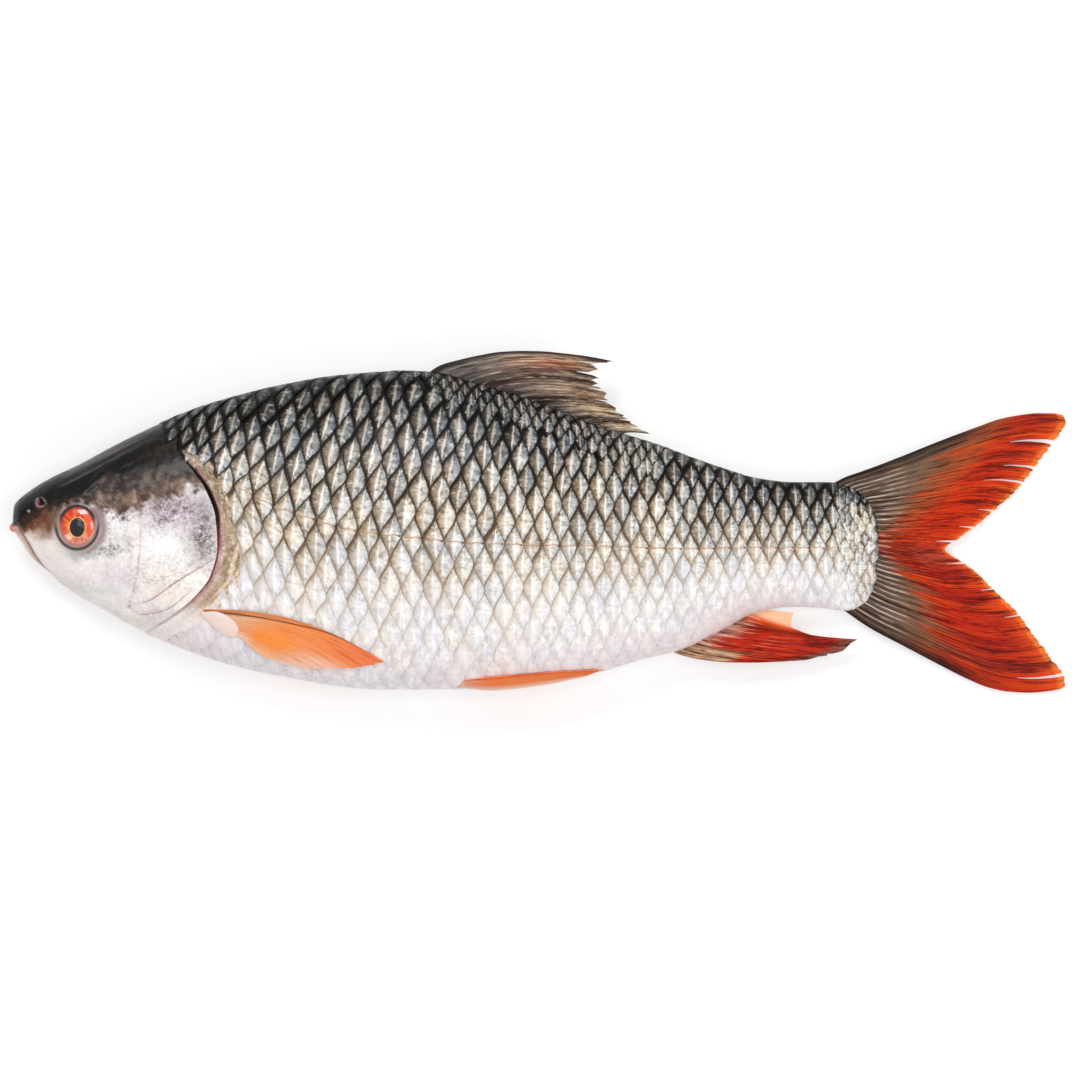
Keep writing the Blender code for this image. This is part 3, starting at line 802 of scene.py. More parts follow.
def fin_material(
    name, rays, streak, ray_highlight, ray_highlight_amount, root_ray_highlight, root_amount, streaky=0.5, plain_from=2.0
):
    """A fin: broad colour painted on its points, crossed by dark seams, with painted shade in the grooves
    between its rays, and by painted highlights along its rays.

    streak is the colour of dark streaks, and the two highlight colours those of pale streaks near the tips
    and near the root, which are painted highlights. streaky is how common dark streaks are, from 0 to 1, and
    plain_from the share across the fin where they end.
    """
    n = Nodes(name, Roughness=0.42, Coat_Weight=0.04, Coat_Roughness=0.2, Specular_IOR_Level=0.08)
    u, v, relief = n.attribute("fin")
    lines = n.noise(n.vector(n.scaled(u, rays * 1.4), n.scaled(v, 1.8), 3.0), 1.0, 4.0, 0.75)
    ticks = n.noise(n.vector(n.scaled(u, rays * 4.5), n.scaled(v, 5.0), 9.0), 1.0, 4.0, 0.7)
    # Painted shade: the dark streaks are strongest in the grooves between the rays
    groove = n.times(n.rise(relief, 0.4, 0.08), n.rise(lines, 0.64, 0.42))
    often = 0.05 * streaky
    dark = n.math("MAXIMUM", n.scaled(n.rise(lines, 0.45 + often, 0.35 + often), 0.85), groove)
    dark = n.math("MAXIMUM", dark, n.scaled(n.rise(ticks, 0.44 + often, 0.34 + often), 0.7))
    dark = n.times(dark, n.rise(u, plain_from, plain_from - 0.08))
    base = n.painted()
    toned = n.mix(dark, base, n.shaded(base, streak))
    # Painted highlights along the crests of the rays, near the tips and near the root
    on_ray = n.rise(relief, 0.84, 0.99)
    near_root = n.rise(v, 0.46, 0.14)
    pale = n.times(n.rise(lines, 0.46, 0.58), on_ray, ray_highlight_amount)
    root_highlight_mask = n.times(on_ray, n.rise(lines, 0.4, 0.58), n.scaled(near_root, root_amount))
    from_edge = n.math("MINIMUM", u, n.scaled(u, -1.0, 1.0))
    ray_highlight_mask = n.times(
        n.math("MAXIMUM", pale, root_highlight_mask), n.rise(from_edge, 0.02, 0.06), n.rise(ticks, 0.42, 0.54)
    )
    n.colour(n.mix(ray_highlight_mask, toned, n.mix(near_root, ray_highlight, root_ray_highlight)))
    n.bump(n.math("ADD", lines, n.scaled(ticks, 0.5)), 0.0003)
    return n.material


# Colours painted on points


def paint(base, layers):
    """Linear colours from a base and (strength, sRGB colour) layers laid over it in turn."""
    shape = np.broadcast_shapes(*(np.shape(strength) for strength, _ in layers))
    colour = np.zeros((*shape, 3)) + linear(base)[:3]
    for strength, over in layers:
        colour = colour + (np.array(linear(over)[:3]) - colour) * np.asarray(strength)[..., None]
    return colour


# Patches of the head's colour, with a painted highlight on the gill cover and painted shade under the jaw:
# station, level, reach along, reach across, strength, colour
HEAD_PATCHES = [
    (49, -18, 12, 12, 0.35, (232, 222, 228)),
    # Painted highlight: the white sheen of the gill cover
    (60, 0, 10, 9, 0.9, (252, 250, 249)),
    (58, -13, 8, 7, 0.4, (234, 218, 202)),
    (44, 10, 5, 4, 0.8, (240, 238, 241)),
    (42, 2, 6, 4, 0.4, (196, 190, 190)),
    (66, 13, 14, 7, 0.9, (180, 158, 178)),
    (62, 17, 9, 3, 0.8, (126, 96, 100)),
    (77, 6, 6, 14, 0.8, (140, 128, 134)),
    (76, -4, 4, 6, 0.5, (150, 138, 128)),
    (49, 18, 3.5, 4, 0.7, (136, 92, 70)),
    (36, -1.5, 9, 2.2, 0.6, (120, 122, 126)),
    (27, -3.8, 7, 1.6, 0.55, (160, 166, 172)),
    # Painted shade along the underside of the jaw
    (29, -17, 12, 4, 0.45, (208, 200, 202)),
    (42, -13, 6, 5, 0.35, (208, 196, 208)),
    (18, 12.4, 5, 4, 0.9, (98, 70, 52)),
    (14, 8.4, 6, 3.2, 0.9, (146, 98, 68)),
    (8.5, 9.6, 5.5, 3.4, 1.0, (104, 54, 28)),
    (11, 13.6, 8, 3.8, 1.0, (50, 34, 26)),
    (12, 5.6, 6, 2.6, 0.7, (196, 158, 128)),
    (12, -2, 6, 6, 0.4, (236, 224, 212)),
    (73, -13, 9, 4.4, 0.95, (253, 247, 240)),
    (63, -20, 8, 3, 0.8, (252, 238, 226)),
    (57, -27, 9, 2.2, 0.6, (198, 184, 180)),
    (48, -30, 10, 2.5, 0.5, (230, 206, 196)),
]

# Where the head has many dark flecks: station, level, reach along, reach across, strength
DARK_FLECKS = [
    (66, 13, 14, 8, 0.8), (77, 3, 6, 12, 0.95), (42, 15, 8, 8, 0.95), (38, -0.5, 10, 3.6, 0.9),
    (44, 9, 3.5, 4, 0.9), (60, -12, 16, 9, 0.35),
]


# The pieces


def eye_surround(s, h):
    """How much a point is in the soft skin round the eye, and that skin's layers of colour."""
    right, up = (s - EYE_STATION) / IRIS_WIDTH, (h - EYE_LEVEL) / IRIS_HEIGHT
    away = from_eye(s, h)
    socket = ease(1.65, 1.25, np.hypot(right - 0.3, up + 0.05)) * ease(1.15, 0.75, up)
    lid = bell(away - 1.25, 0.1) * ease(0.35, -0.3, up) + bell(away - 1.1, 0.08) * ease(0.1, 0.6, up)
    return socket, [
        (0.85 * socket, (172, 152, 144)),
        (0.8 * socket * ease(-0.2, 0.9, right), (142, 120, 122)),
        (0.9 * socket * ease(-0.4, -1.0, right) * ease(-0.8, 0.2, up), (124, 84, 60)),
        (0.6 * bell(away - 1.14, 0.07), (206, 176, 172)),
        (0.97 * np.minimum(lid, 1), (26, 14, 18)),
        (0.6 * bell(away - 1.42, 0.08) * ease(0.2, -0.3, up), (188, 176, 176)),
    ]


def head_details(s, h, points, above, grain, blots):
    """Layers of colour for the sheen of the crown, the nape, the nostril, the lips and the grooves."""
    drawn = stacked(s * 0.55 - h * 1.1, (h - 0.52 * s) * 3.0, points[..., 2])
    sheen = ease(3, 7, above) * ease(14, 26, s / MM) * (1 - 0.7 * ease(40, 54, s / MM))
    nape = ease(48, 60, s / MM) * ease(1, 4, above) * ease(13, 9, above)
    nostril_rim = bell(from_nostril(s, h) - 1.5 * MM, 0.6 * MM)
    mouth = distance_to_line(s, h, MOUTH)
    below_mouth = ease(0.4, -0.6, h / MM - np.interp(s / MM, *zip(*MOUTH)))
    grooves = np.minimum(distance_to_line(s, h, PREOPERCLE), distance_to_line(s, h, SUBOPERCLE))
    return [
        (0.6 * sheen * ease(-0.1, 0.4, cloud(drawn, 6 * MM)), (104, 95, 91)),
        (0.6 * nape * ease(-0.4, 0.5, grain + 0.5 * blots), (58, 38, 25)),
        (0.7 * nostril_rim * ease(-0.2, 0.2, grain), (176, 132, 128)),
        (0.9 * bell(from_pore(s, h), 0.45 * MM), (196, 192, 190)),
        (0.8 * below_mouth * ease(26, 19, s / MM), (228, 198, 184)),
        (0.85 * bell(mouth, 0.6 * MM) * ease(24, 14, s / MM), (140, 84, 56)),
        (0.35 * bell(grooves, 0.7 * MM), (214, 190, 186)),
    ]


def head_tint(s, h, points):
    """Colour of the head's skin, and how many dark and pale flecks and how much grain it has."""
    drift, drift_up = cloud(points, 8 * MM), cloud(points + 0.3, 6 * MM)
    grain, blots = cloud(points + 0.6, 2.4 * MM), cloud(points + 0.9, 4.5 * MM)
    near_s, near_h = s / MM + 2.6 * drift, h / MM + 2.2 * drift_up + 0.6 * grain
    above = h / MM + 1.2 * drift_up + 1.2 * grain - smooth_curve(DARK_HEAD)(s / MM)
    into = above / smooth_curve(BROWN_HEAD)(s / MM) + 0.22 * blots + 0.1 * grain
    brown = ease(-1.15, -0.8, into)
    front = ease(21, 15, s / MM)
    behind_eye = ease(22, 34, s / MM)
    socket, eye_layers = eye_surround(s, h)
    tint = paint((238, 230, 227), [
        (0.4 * behind_eye * ease(0.05, 0.5, blots), (206, 196, 203)),
        (0.5 * behind_eye * ease(0.05, 0.5, -blots), (255, 252, 250)),
        *((strength * patch(near_s, near_h, *place), colour) for *place, strength, colour in HEAD_PATCHES),
        (0.92 * brown, (106, 79, 58)),
        (0.85 * brown * ease(-0.2, 0.4, blots + 0.5 * grain), (70, 52, 43)),
        (0.5 * brown * ease(0.15, 0.7, -blots - 0.4 * grain), (152, 126, 104)),
        (0.9 * brown * front, (116, 72, 42)),
        (0.85 * patch(near_s, near_h, 13, 8.2, 7, 3.4), (104, 64, 38)),
        (0.9 * front * patch(near_s, near_h, 7, 9.4, 6, 3), (106, 54, 28)),
        (0.92 * ease(-0.75, -0.3, into), (42, 29, 21)),
        (0.98 * ease(-1.8, 1.6, above), (12, 11, 10)),
        *eye_layers,
        *head_details(s, h, points, above, grain, blots),
    ])
    dark = 0.6 * brown
    for *place, strength in DARK_FLECKS:
        dark = np.maximum(dark, strength * patch(near_s, near_h, *place))
    dark = dark * (1 - socket) * (1 - ease(-2, 1, above))
    pale = np.maximum(0.75 * dark, 0.3 * ease(20, 30, s / MM)) * (1 - socket) * (1 - 0.95 * brown)
    return tint, stacked(dark, pale * (1 - ease(-3, -1, above)), 0.7)


def head_relief(s, h, share, along):
    """Height of the head's details over its plain form, in metres."""
    relief = cover_rise(share, along)
    preopercle = distance_to_line(s, h, PREOPERCLE)
    relief -= 0.35 * MM * bell(preopercle, 0.7 * MM)
    relief += 0.35 * MM * bell(preopercle - 3 * MM, 2.5 * MM)
    relief -= 0.35 * MM * bell(distance_to_line(s, h, SUBOPERCLE), 0.6 * MM)
    relief -= 0.3 * MM * bell(distance_to_line(s, h, BRANCHIAL), 0.7 * MM)
    eye_away = from_eye(s, h)
    relief += 1.0 * MM * bell(eye_away - 1.4, 0.26) - 0.5 * MM * bell(eye_away - 1.2, 0.08)
    relief -= 4.5 * MM * (1 - ease(0.86, 1.1, eye_away))
    nostril = from_nostril(s, h)
    relief += 0.5 * MM * bell(nostril - 1.6 * MM, 0.6 * MM) - 1.0 * MM * bell(nostril, 0.9 * MM)
    relief -= 0.4 * MM * bell(from_pore(s, h), 0.5 * MM)
    mouth = distance_to_line(s, h, MOUTH)
    lips = 0.5 * MM * bell(mouth - 1.5 * MM, 1.0 * MM) - 1.0 * MM * bell(mouth, 0.5 * MM)
    relief += lips * ease(21, 13, s / MM)
    brow = h / MM - smooth_curve(DARK_HEAD)(s / MM)
    relief += 0.5 * MM * bell(brow - 1, 2.2) * ease(10, 20, s / MM) * ease(50, 36, s / MM)
    return relief


def head(material):
    """Head and gill covers, with grooves between the plates and a free rear edge that turns inwards."""
    rows, columns = 190, 440
    shares, side = around_body(columns)
    along = (np.linspace(0.004, 1, rows) ** 1.25)[:, None] + np.zeros(columns)
    s = gill_edge(shares) * MM * along
    share = shares + np.zeros((rows, 1))
    points = on_body(s, share)
    normals = body_normals(s, np.clip(share, 0.004, 0.996))
    h = points[..., 1]
    tint, flecks = head_tint(s, h, points)
    rough = 0.12 * MM * cloud(points, 3 * MM)
    points = points + normals * (head_relief(s, h, share, along) + rough)[..., None]

    # Two more rows turn the free rear edge inwards
    turned_in = points[-1] - normals[-1] * 1.0 * MM - [0.3 * MM, 0, 0]
    deep = points[-1] - normals[-1] * 3.0 * MM - [4 * MM, 0, 0]
    points = np.concatenate([points, turned_in[None], deep[None]])
    points[..., 2] *= side
    # The turned-in edge is painted dark above, as painted shade under the gill cover, and dull red below
    rim = paint((150, 60, 66), [(ease(0.5, 0.25, share[-1]), (30, 24, 22))])
    tint = np.concatenate([tint, rim[None], rim[None]])
    flecks = np.concatenate([flecks, np.zeros((2, columns, 3))])
    faces = grid_faces(rows + 2, columns, wrap=True)
    mesh_piece("head", in_world(points), faces, material, tint=tint, flecks=flecks)


def rim_tint(behind, depth):
    """Colour of the golden band between the gill opening and the scales, with painted highlights in pale
    streaks and in a pink strip just behind the opening.
    """
    along = depth * 120 * MM
    streaks = cloud(stacked(behind * 2.4, along * 0.4, 0.0), 4 * MM)
    broad = cloud(stacked(behind * 1.6, along * 0.35, 0.2), 9 * MM)
    return paint((188, 156, 120), [
        (0.9 * ease(0.0, 0.3, broad), (144, 122, 84)),
        (ease(0.56, 0.72, depth) * 0.7, (230, 200, 174)),
        # Painted highlights: pale streaks along the band
        (0.8 * ease(0.0, 0.3, streaks), (238, 220, 196)),
        (0.8 * ease(-0.05, -0.35, streaks) * ease(0.85, 0.6, depth), (112, 90, 60)),
        (0.4 * ease(-0.05, -0.35, streaks), (176, 140, 110)),
        # Painted highlight: a pink strip just behind the opening
        (0.85 * bell(behind - 2.0 * MM, 1.2 * MM), (200, 156, 150)),
        (0.7 * bell(behind - 4.6 * MM, 1.4 * MM) * ease(0.25, 0.4, depth), (136, 112, 72)),
        (0.85 * ease(0.5, 0.2, depth) * bell(behind - 6 * MM, 3 * MM), (126, 106, 68)),
        (ease(0.76, 0.88, depth) * 0.9, (238, 230, 228)),
        (ease(0.24, 0.12, depth), (26, 22, 19)),
    ])


def off_outline(share):
    """0 on the outline of the back and the belly, where relief would show as bumps, and 1 off it."""
    return ease(0.0, 0.07, share) * ease(1.0, 0.93, share)


def core(material):
    """The body under the scales: it shows behind the gill covers, along the back and at the fins."""
    rows, columns = 190, 360
    shares, side = around_body(columns)
    edge = gill_edge(shares) * MM - 3.5 * MM
    s = edge + (BODY_END - edge) * (np.linspace(0, 1, rows) ** 2.0)[:, None]
    share = shares + np.zeros((rows, 1))
    points = on_body(s, share)
    h = points[..., 1]
    depth = depth_share(s, h)
    behind = s - edge - 3.5 * MM
    scaled = ease(0, 3.5 * MM, s - smooth_curve(SCALES_FROM)(h / MM) * MM)
    opening = bell(depth - 0.36, 0.16)
    rise = -(0.9 + 0.9 * opening) * MM * (1 - ease(0.3 * MM, 2.4 * MM, behind))
    rise -= (0.1 + 0.75 * off_outline(share)) * MM * scaled
    rise += (0.4 * MM * bell(behind - 4 * MM, 1.8 * MM) + 0.2 * MM * cloud(points, 4 * MM)) * (1 - scaled)
    tint = paint((24, 21, 19), [
        (ease(0.2, 0.45, depth), (120, 100, 78)),
        (ease(0.45, 0.75, depth), (222, 212, 206)),
        (0.85 * ease(334, 341, s / MM) * ease(0.15, 0.35, depth), (168, 154, 140)),
    ])
    tint = tint + (rim_tint(behind, depth) - tint) * (1 - scaled)[..., None]
    # The slit behind the gill cover is painted dark above, as painted shadow in the gap under the cover, and
    # red below
    slit = (1 - ease(0.8, 1.4, behind / (0.5 * MM + 1.4 * MM * opening))) * ease(0.9, 0.8, depth)
    slit_shadow_and_red = paint((22, 14, 12), [(ease(0.44, 0.56, depth), (150, 70, 76))])
    tint = tint + (slit_shadow_and_red - tint) * (0.97 * slit)[..., None]
    bare = (1 - scaled) * (1 - slit)
    flecks = stacked(0.3 * bare * ease(0.15, 0.3, depth) * ease(0.85, 0.6, depth), 0.35 * bare, 1.0)
    points = points + body_normals(s, np.clip(share, 0.004, 0.996)) * rise[..., None]
    points[..., 2] *= side
    faces = grid_faces(rows, columns, wrap=True)
    mesh_piece("core", in_world(points), faces, material, tint=tint, flecks=flecks)


def lattice_stations():
    """Stations of the scale lattice's columns, half a pitch apart, along the lateral line."""
    stations = [46 * MM]
    while stations[-1] < BODY_END + 6 * MM:
        stations.append(stations[-1] + float(scale_pitch(stations[-1])) / 2)
    return np.array(stations)


COLUMN_STATIONS = lattice_stations()
LINE_SHARE = share_at(STATIONS, lateral_level(STATIONS))


def lattice(column, row, zone=MAIN):
    """Station and share of a point of a zone's scale lattice, where rows count up from its main line.

    That is the back for the scales beside the dorsal fin, and the lateral line for the others.
    """
    base = np.interp(column * 2, np.arange(len(COLUMN_STATIONS)), COLUMN_STATIONS)
    s = base + np.maximum(row, 0) * scale_pitch(base) * ROW_TO_PITCH * column_lean(base / MM)
    for fine_zone, (start, pitch) in FINE_SCALES.items():
        s = np.where(zone == fine_zone, start + column * pitch, s)
    s = np.minimum(s, BODY_END - 0.3 * MM)
    line = np.where(zone == BESIDE_FIN, 0, np.interp(s, STATIONS, LINE_SHARE))
    return s, line - row * zone_pitch(s, zone) * ROW_TO_PITCH / half_girth(s)


def blush(s, h):
    """How pink the skin is: along the belly fins, round the root of the anal fin and at the throat."""
    up = (h - belly_level(s)) / MM
    belly = patch(s / MM, h / MM, 210, -50, 34, 5)
    anal = patch(s / MM, up, 282, 0, 26, 7)
    throat = patch(s / MM, up, 62, 0, 16, 8)
    return np.clip(0.7 * belly + 0.75 * anal + 0.5 * throat, 0, 1)


def scale_edge(y):
    """How far a scale reaches to the rear at y. With it, its front seam mirrors its rear edge."""
    y = np.minimum(np.abs(y), 1)
    return 0.5 * (0.7 * (1 + np.cos(np.pi * y)) / 2 + 0.3 * (1 - y))


def scale_template():
    """One scale's points: x along the fish and y over it in pitches, and which are on its rim."""
    y = np.linspace(-0.985, 0.985, 15)[:, None]
    rear = scale_edge(y)
    front = -rear - 0.22
    to_crest = front * (1 - np.linspace(0, 1, 4) ** 0.8)
    to_rim = rear * np.linspace(0, 1, 5)[1:] ** 0.85
    x = np.concatenate([to_crest, to_rim, rear], axis=1)
    rim = np.zeros_like(x)
    rim[:, -1] = 1
    return x, y + np.zeros_like(x), rim


def zone_pitch(s, zone):
    """Width of the scales at a station."""
    pitch = scale_pitch(s)
    for fine_zone, (_, fine) in FINE_SCALES.items():
        pitch = np.where(zone == fine_zone, fine, pitch)
    return pitch


def in_zone(zone, s, share):
    """Whether a scale at a point belongs to a lattice. The lattices overlap a little where they meet."""
    if zone == TAIL_ROOT:
        return s > TAIL_ROOT_START
    beside_fin = 15 * MM * ease(154, 172, s / MM) * ease(264, 250, s / MM)
    from_back = max(share, 0) * half_girth(s)
    before_tail = s < TAIL_ROOT_START + 3 * MM
    return before_tail and (from_back < 1.3 * beside_fin if zone == BESIDE_FIN else from_back >= beside_fin)


def scale_centres():
    """Column, row, growth, zone and share of every scale of the left side and the middle."""
    centres = []
    for zone in (MAIN, TAIL_ROOT, BESIDE_FIN):
        for row in SCALE_ROWS:
            for half in range(row % 2, len(COLUMN_STATIONS) - 2, 2):
                column = half / 2
                s, share = lattice(column, row, zone)
                if not -0.03 < share < 1.03 or s > BODY_END - 1.5 * MM or not in_zone(zone, s, share):
                    continue
                level = on_body(s, share)[1]
                start = float(smooth_curve(SCALES_FROM)(level / MM)) * MM
                if s > start:
                    centres.append((column, row, ease(-4 * MM, 10 * MM, s - start), zone, share))
    return np.array(centres, float)


def shown_depth(s, depth, zone):
    """How far down the flank a scale's colours say it is, which differs a little from where it is."""
    shown = depth + 0.06 * ease(185, 250, s / MM) * ease(325, 275, s / MM)
    shown = shown + 0.04 * (zone == BESIDE_FIN)
    shown = shown + 0.11 * ease(112, 92, s / MM) * ease(0.22, 0.36, depth)
    tail_root = ease(328, 341, s / MM) * ease(0.02, 0.24, depth)
    return shown + (0.38 + 0.26 * depth - shown) * tail_root


def scales(side, centres, material):
    """All scales of one side as one mesh of overlapping plates."""
    x, y, rim = scale_template()
    count = len(centres)
    random = rng.random((count, 3))
    one, two, three = (random[:, k][:, None, None] for k in range(3))
    column, row, grown, zone = (centres[:, k][:, None, None] for k in range(4))

    # Each scale differs a little from the lattice in place, outline and size, the fine ones more so
    fine = 1.0 * (zone == TAIL_ROOT) + 0.35 * (zone == BESIDE_FIN)
    loose = 0.05 + 0.09 * fine
    dx, dy = (one - 0.5) * loose * 2, (two - 0.5) * loose * 2
    wave = 1 + (0.06 + 0.06 * fine) * np.sin(6 * y + 20 * three)
    rounder = 1 + 0.2 * fine * (1 - y**2)
    size = (0.86 + 0.14 * grown) * (1 + (three - 0.5) * (0.08 + 0.3 * fine)) * (1 + 0.1 * fine)
    centre, _ = lattice(column, row, zone)
    size = size * (1 + 0.4 * (zone == TAIL_ROOT) * ease(338, 331, centre / MM))
    lean = (two - 0.5) * (0.14 + 0.26 * fine) * y
    s, share = lattice(column + dx + (x * wave * rounder + lean) * size, row + dy + y * size, zone)
    plate = on_body(s, share)
    depth = depth_share(s, plate[..., 1])

    # A scale rises towards its rear, with a crest across its middle and a rim that turns down
    pitch = zone_pitch(s, zone)
    crest = 0.055 * pitch * (1 - np.sqrt((2 * x) ** 2 + 0.012)) * (1 - 0.55 * y**2)
    lift = 0.085 * pitch * (x - 0.1) + crest - 0.02 * pitch * np.maximum(0, 2 * x - 0.6) ** 2
    lift = lift * (0.45 + 0.55 * grown) - 0.075 * pitch * rim
    lift += (two - 0.5) * 0.016 * pitch
    lift = lift * (1 - 0.35 * ease(0.6, 0.9, depth)) * (0.12 + 0.88 * off_outline(share))
    over_head = ease(69, 65, s / MM) * ease(0.3, 0.22, share)
    lift += (0.2 * (zone == BESIDE_FIN) + 0.3 * over_head) * MM
    plate = plate + body_normals(s, share) * lift[..., None]

    edges = stacked(scale_edge(y) - x, x + scale_edge(y), blush(s, plate[..., 1]))
    plate[..., 2] *= side
    faces = (grid_faces(*x.shape) + (np.arange(count) * x.size)[:, None, None]).reshape(-1, 4)
    mesh_piece(
        f"scales_{SIDE_NAMES[side]}", in_world(plate), faces[:, ::-side], material,
        local=stacked(x, y, shown_depth(s, depth, zone)), edges=edges,
        random=np.broadcast_to(random[:, None, None, :], plate.shape),
    )


def lateral_line(side, material):
    """The canal of the lateral line: a short raised tube on each of its scales."""
    parts, shades = [], []
    along = np.linspace(-0.34, 0.46, 9)
    tone = paint((206, 168, 138), [
        (ease(-0.1, -0.34, along), (150, 96, 62)),
        (ease(0.28, 0.46, along), (58, 36, 24)),
    ])
    for column in range(len(COLUMN_STATIONS) // 2):
        start, _ = lattice(float(column), 0.0)
        if not TUBES_START < start < TUBES_END:
            continue
        bend = (rng.random() - 0.5) * 0.14
        s, share = lattice(column + along, bend * (along - 0.1) + 0.02 * np.sin(9 * along))
        pitch = scale_pitch(s)
        lift = 0.085 * pitch * (along - 0.1) + 0.055 * pitch * (1 - np.abs(2 * along)) - 0.008 * pitch
        path = on_body(s, share) + body_normals(s, share) * lift[:, None]
        path[:, 2] *= side
        radius = 0.042 * pitch * np.array([0.3, 0.7, 1, 0.85, 0.75, 0.75, 0.8, 1.3, 1.5])
        parts.append(tube(in_world(path), radius))
        shades.append(np.repeat(np.concatenate([tone[:1], tone, tone[-1:]]), 8, axis=0))
    points, faces = joined_tubes(parts)
    mesh_piece(
        f"lateral_line_{SIDE_NAMES[side]}", points, faces, material,
        tint=np.concatenate(shades), flecks=np.zeros_like(points),
    )


def eye(side, iris, ring):
    """A low glossy dome with its iris and pupil, and the thin ring round the pupil."""
    rings, spokes = 44, 72
    rim = half_width_at(EYE_STATION, EYE_LEVEL) - 0.9 * MM

    def flank_slope(ds, dh):
        step = 6 * MM
        ahead = half_width_at(EYE_STATION + ds * step, EYE_LEVEL + dh * step)
        behind = half_width_at(EYE_STATION - ds * step, EYE_LEVEL - dh * step)
        return (ahead - behind) / (2 * step)

    slope_right, slope_up = flank_slope(1, 0), flank_slope(0, 1)

    def dome(right, up):
        r = np.hypot(right / IRIS_WIDTH, up / IRIS_HEIGHT)
        from_pupil = np.hypot(right / PUPIL_WIDTH, (up + PUPIL_DROP) / PUPIL_HEIGHT)
        bulge = EYE_BULGE * np.sqrt(np.maximum(0, 1 - (r / 1.14) ** 2))
        relief = 0.35 * MM * (1 - ease(0.88, 1.04, from_pupil)) - 0.25 * MM * bell(from_pupil - 1.15, 0.14)
        w = rim + right * slope_right + up * slope_up + bulge + relief
        return stacked(EYE_STATION + right, EYE_LEVEL + up, side * w), from_pupil

    r = np.linspace(0.002, 1.12, rings)[:, None]
    turn = np.linspace(0, 2 * math.pi, spokes, endpoint=False)
    points, from_pupil = dome(IRIS_WIDTH * r * np.cos(turn), IRIS_HEIGHT * r * np.sin(turn))
    faces = grid_faces(rings, spokes, wrap=True)[:, ::-side]
    polar = stacked(r, np.cos(turn), np.sin(turn))
    mesh_piece(f"eye_{SIDE_NAMES[side]}", in_world(points), faces, iris, polar=polar, pupil=from_pupil)
    turn = np.linspace(0, 2 * math.pi, 66)
    path, _ = dome(1.06 * PUPIL_WIDTH * np.cos(turn), 1.06 * PUPIL_HEIGHT * np.sin(turn) - PUPIL_DROP)
    radius = (0.13 + 0.05 * np.sin(2 * turn + 1)) * MM
    mesh_piece(f"pupil_ring_{SIDE_NAMES[side]}", *tube(in_world(path), radius), ring)


def iris_material():
    """Red-orange above, pale below, with a black pupil with a painted grey reflection on its upper right, and
    a dark rim.
    """
    n = Nodes("iris", Roughness=0.25, Coat_Weight=0.8, Coat_Roughness=0.04)
    r, beside, up = n.attribute("polar")
    pupil, _, _ = n.attribute("pupil")
    flame = n.noise(n.vector(n.times(beside, 1.7), n.times(up, 1.7), r), 1.6, 4.0, 0.6)
    fibres = n.noise(n.vector(n.times(beside, 9.0), n.times(up, 9.0), n.times(r, 1.4)), 1.0, 3.0, 0.6)
    upper = n.mix(n.rise(flame, 0.46, 0.62), (206, 44, 14), (242, 106, 36))
    lower = n.mix(n.rise(flame, 0.4, 0.62), (226, 130, 104), (248, 214, 190))
    colour = n.mix(n.rise(up, -0.8, -0.25), lower, upper)
    colour = n.mix(n.rise(beside, 0.45, 0.95), colour, (232, 84, 34))
    glow = n.times(n.rise(pupil, 1.55, 1.1), n.rise(flame, 0.42, 0.58), 0.65)
    colour = n.mix(glow, colour, (255, 156, 66))
    colour = n.mix(n.times(n.rise(fibres, 0.5, 0.36), 0.35), colour, (160, 36, 16))
    low = n.times(n.rise(up, -0.86, -0.97), n.rise(r, 0.95, 0.85), 0.6)
    colour = n.mix(low, colour, (190, 44, 36))
    rim = n.mix(n.rise(up, -0.3, 0.5), (206, 100, 84), (90, 14, 10))
    colour = n.mix(n.times(n.rise(r, 0.84, 1.0), 0.8), colour, rim)
    lid = n.mix(n.rise(up, -0.1, 0.5), (186, 132, 122), (30, 20, 24))
    colour = n.mix(n.rise(r, 0.98, 1.04), colour, lid)
    # A painted reflection on the pupil's upper right
    pupil_reflection = n.times(n.rise(beside, -0.1, 0.5), n.rise(up, -0.5, 0.2), n.rise(pupil, 0.9, 0.6))
    black = n.mix(pupil_reflection, (8, 9, 12), (66, 72, 82))
    n.colour(n.mix(n.rise(pupil, 0.96, 1.02), black, colour))
    return n.material


def groove_line(side, line, radius, depth):
    """A thin tube that lies depth below the head's surface, in one of its grooves."""
    t = np.linspace(0, 1, 60)
    s, h = across(line)(t).T
    share = share_at(s, h)
    rise = cover_rise(share, s / (gill_edge(share) * MM))
    path = on_body(s, share) + body_normals(s, share) * (rise - depth)[:, None]
    path[:, 2] *= side
    taper = np.sin(np.pi * (0.06 + 0.88 * t)) ** 0.4
    return tube(in_world(path), radius * taper)


def head_seams(side, material):
    """Thin coloured lines in the grooves of one side of the head."""
    points, faces = joined_tubes([
        groove_line(side, PREOPERCLE, 0.14 * MM, 0.32 * MM),
        groove_line(side, SUBOPERCLE, 0.18 * MM, 0.28 * MM),
        groove_line(side, BRANCHIAL, 0.13 * MM, 0.26 * MM),
    ])
    mesh_piece(f"seams_{SIDE_NAMES[side]}", points, faces, material)


def lip(material):
    """The fleshy lip, bent round the front of the snout."""
    path = [(1.3, 8.4, 3.4), (0.7, 7.9, 2.2), (0.5, 7.4, 0), (0.7, 7.9, -2.2), (1.3, 8.4, -3.4)]
    count = 24
    radius = (0.4 + 1.5 * np.sin(np.pi * np.linspace(0, 1, count)) ** 0.7) * MM
    mesh_piece("lip", *tube(in_world(across_3d(path, count)), radius, sides=12), material)


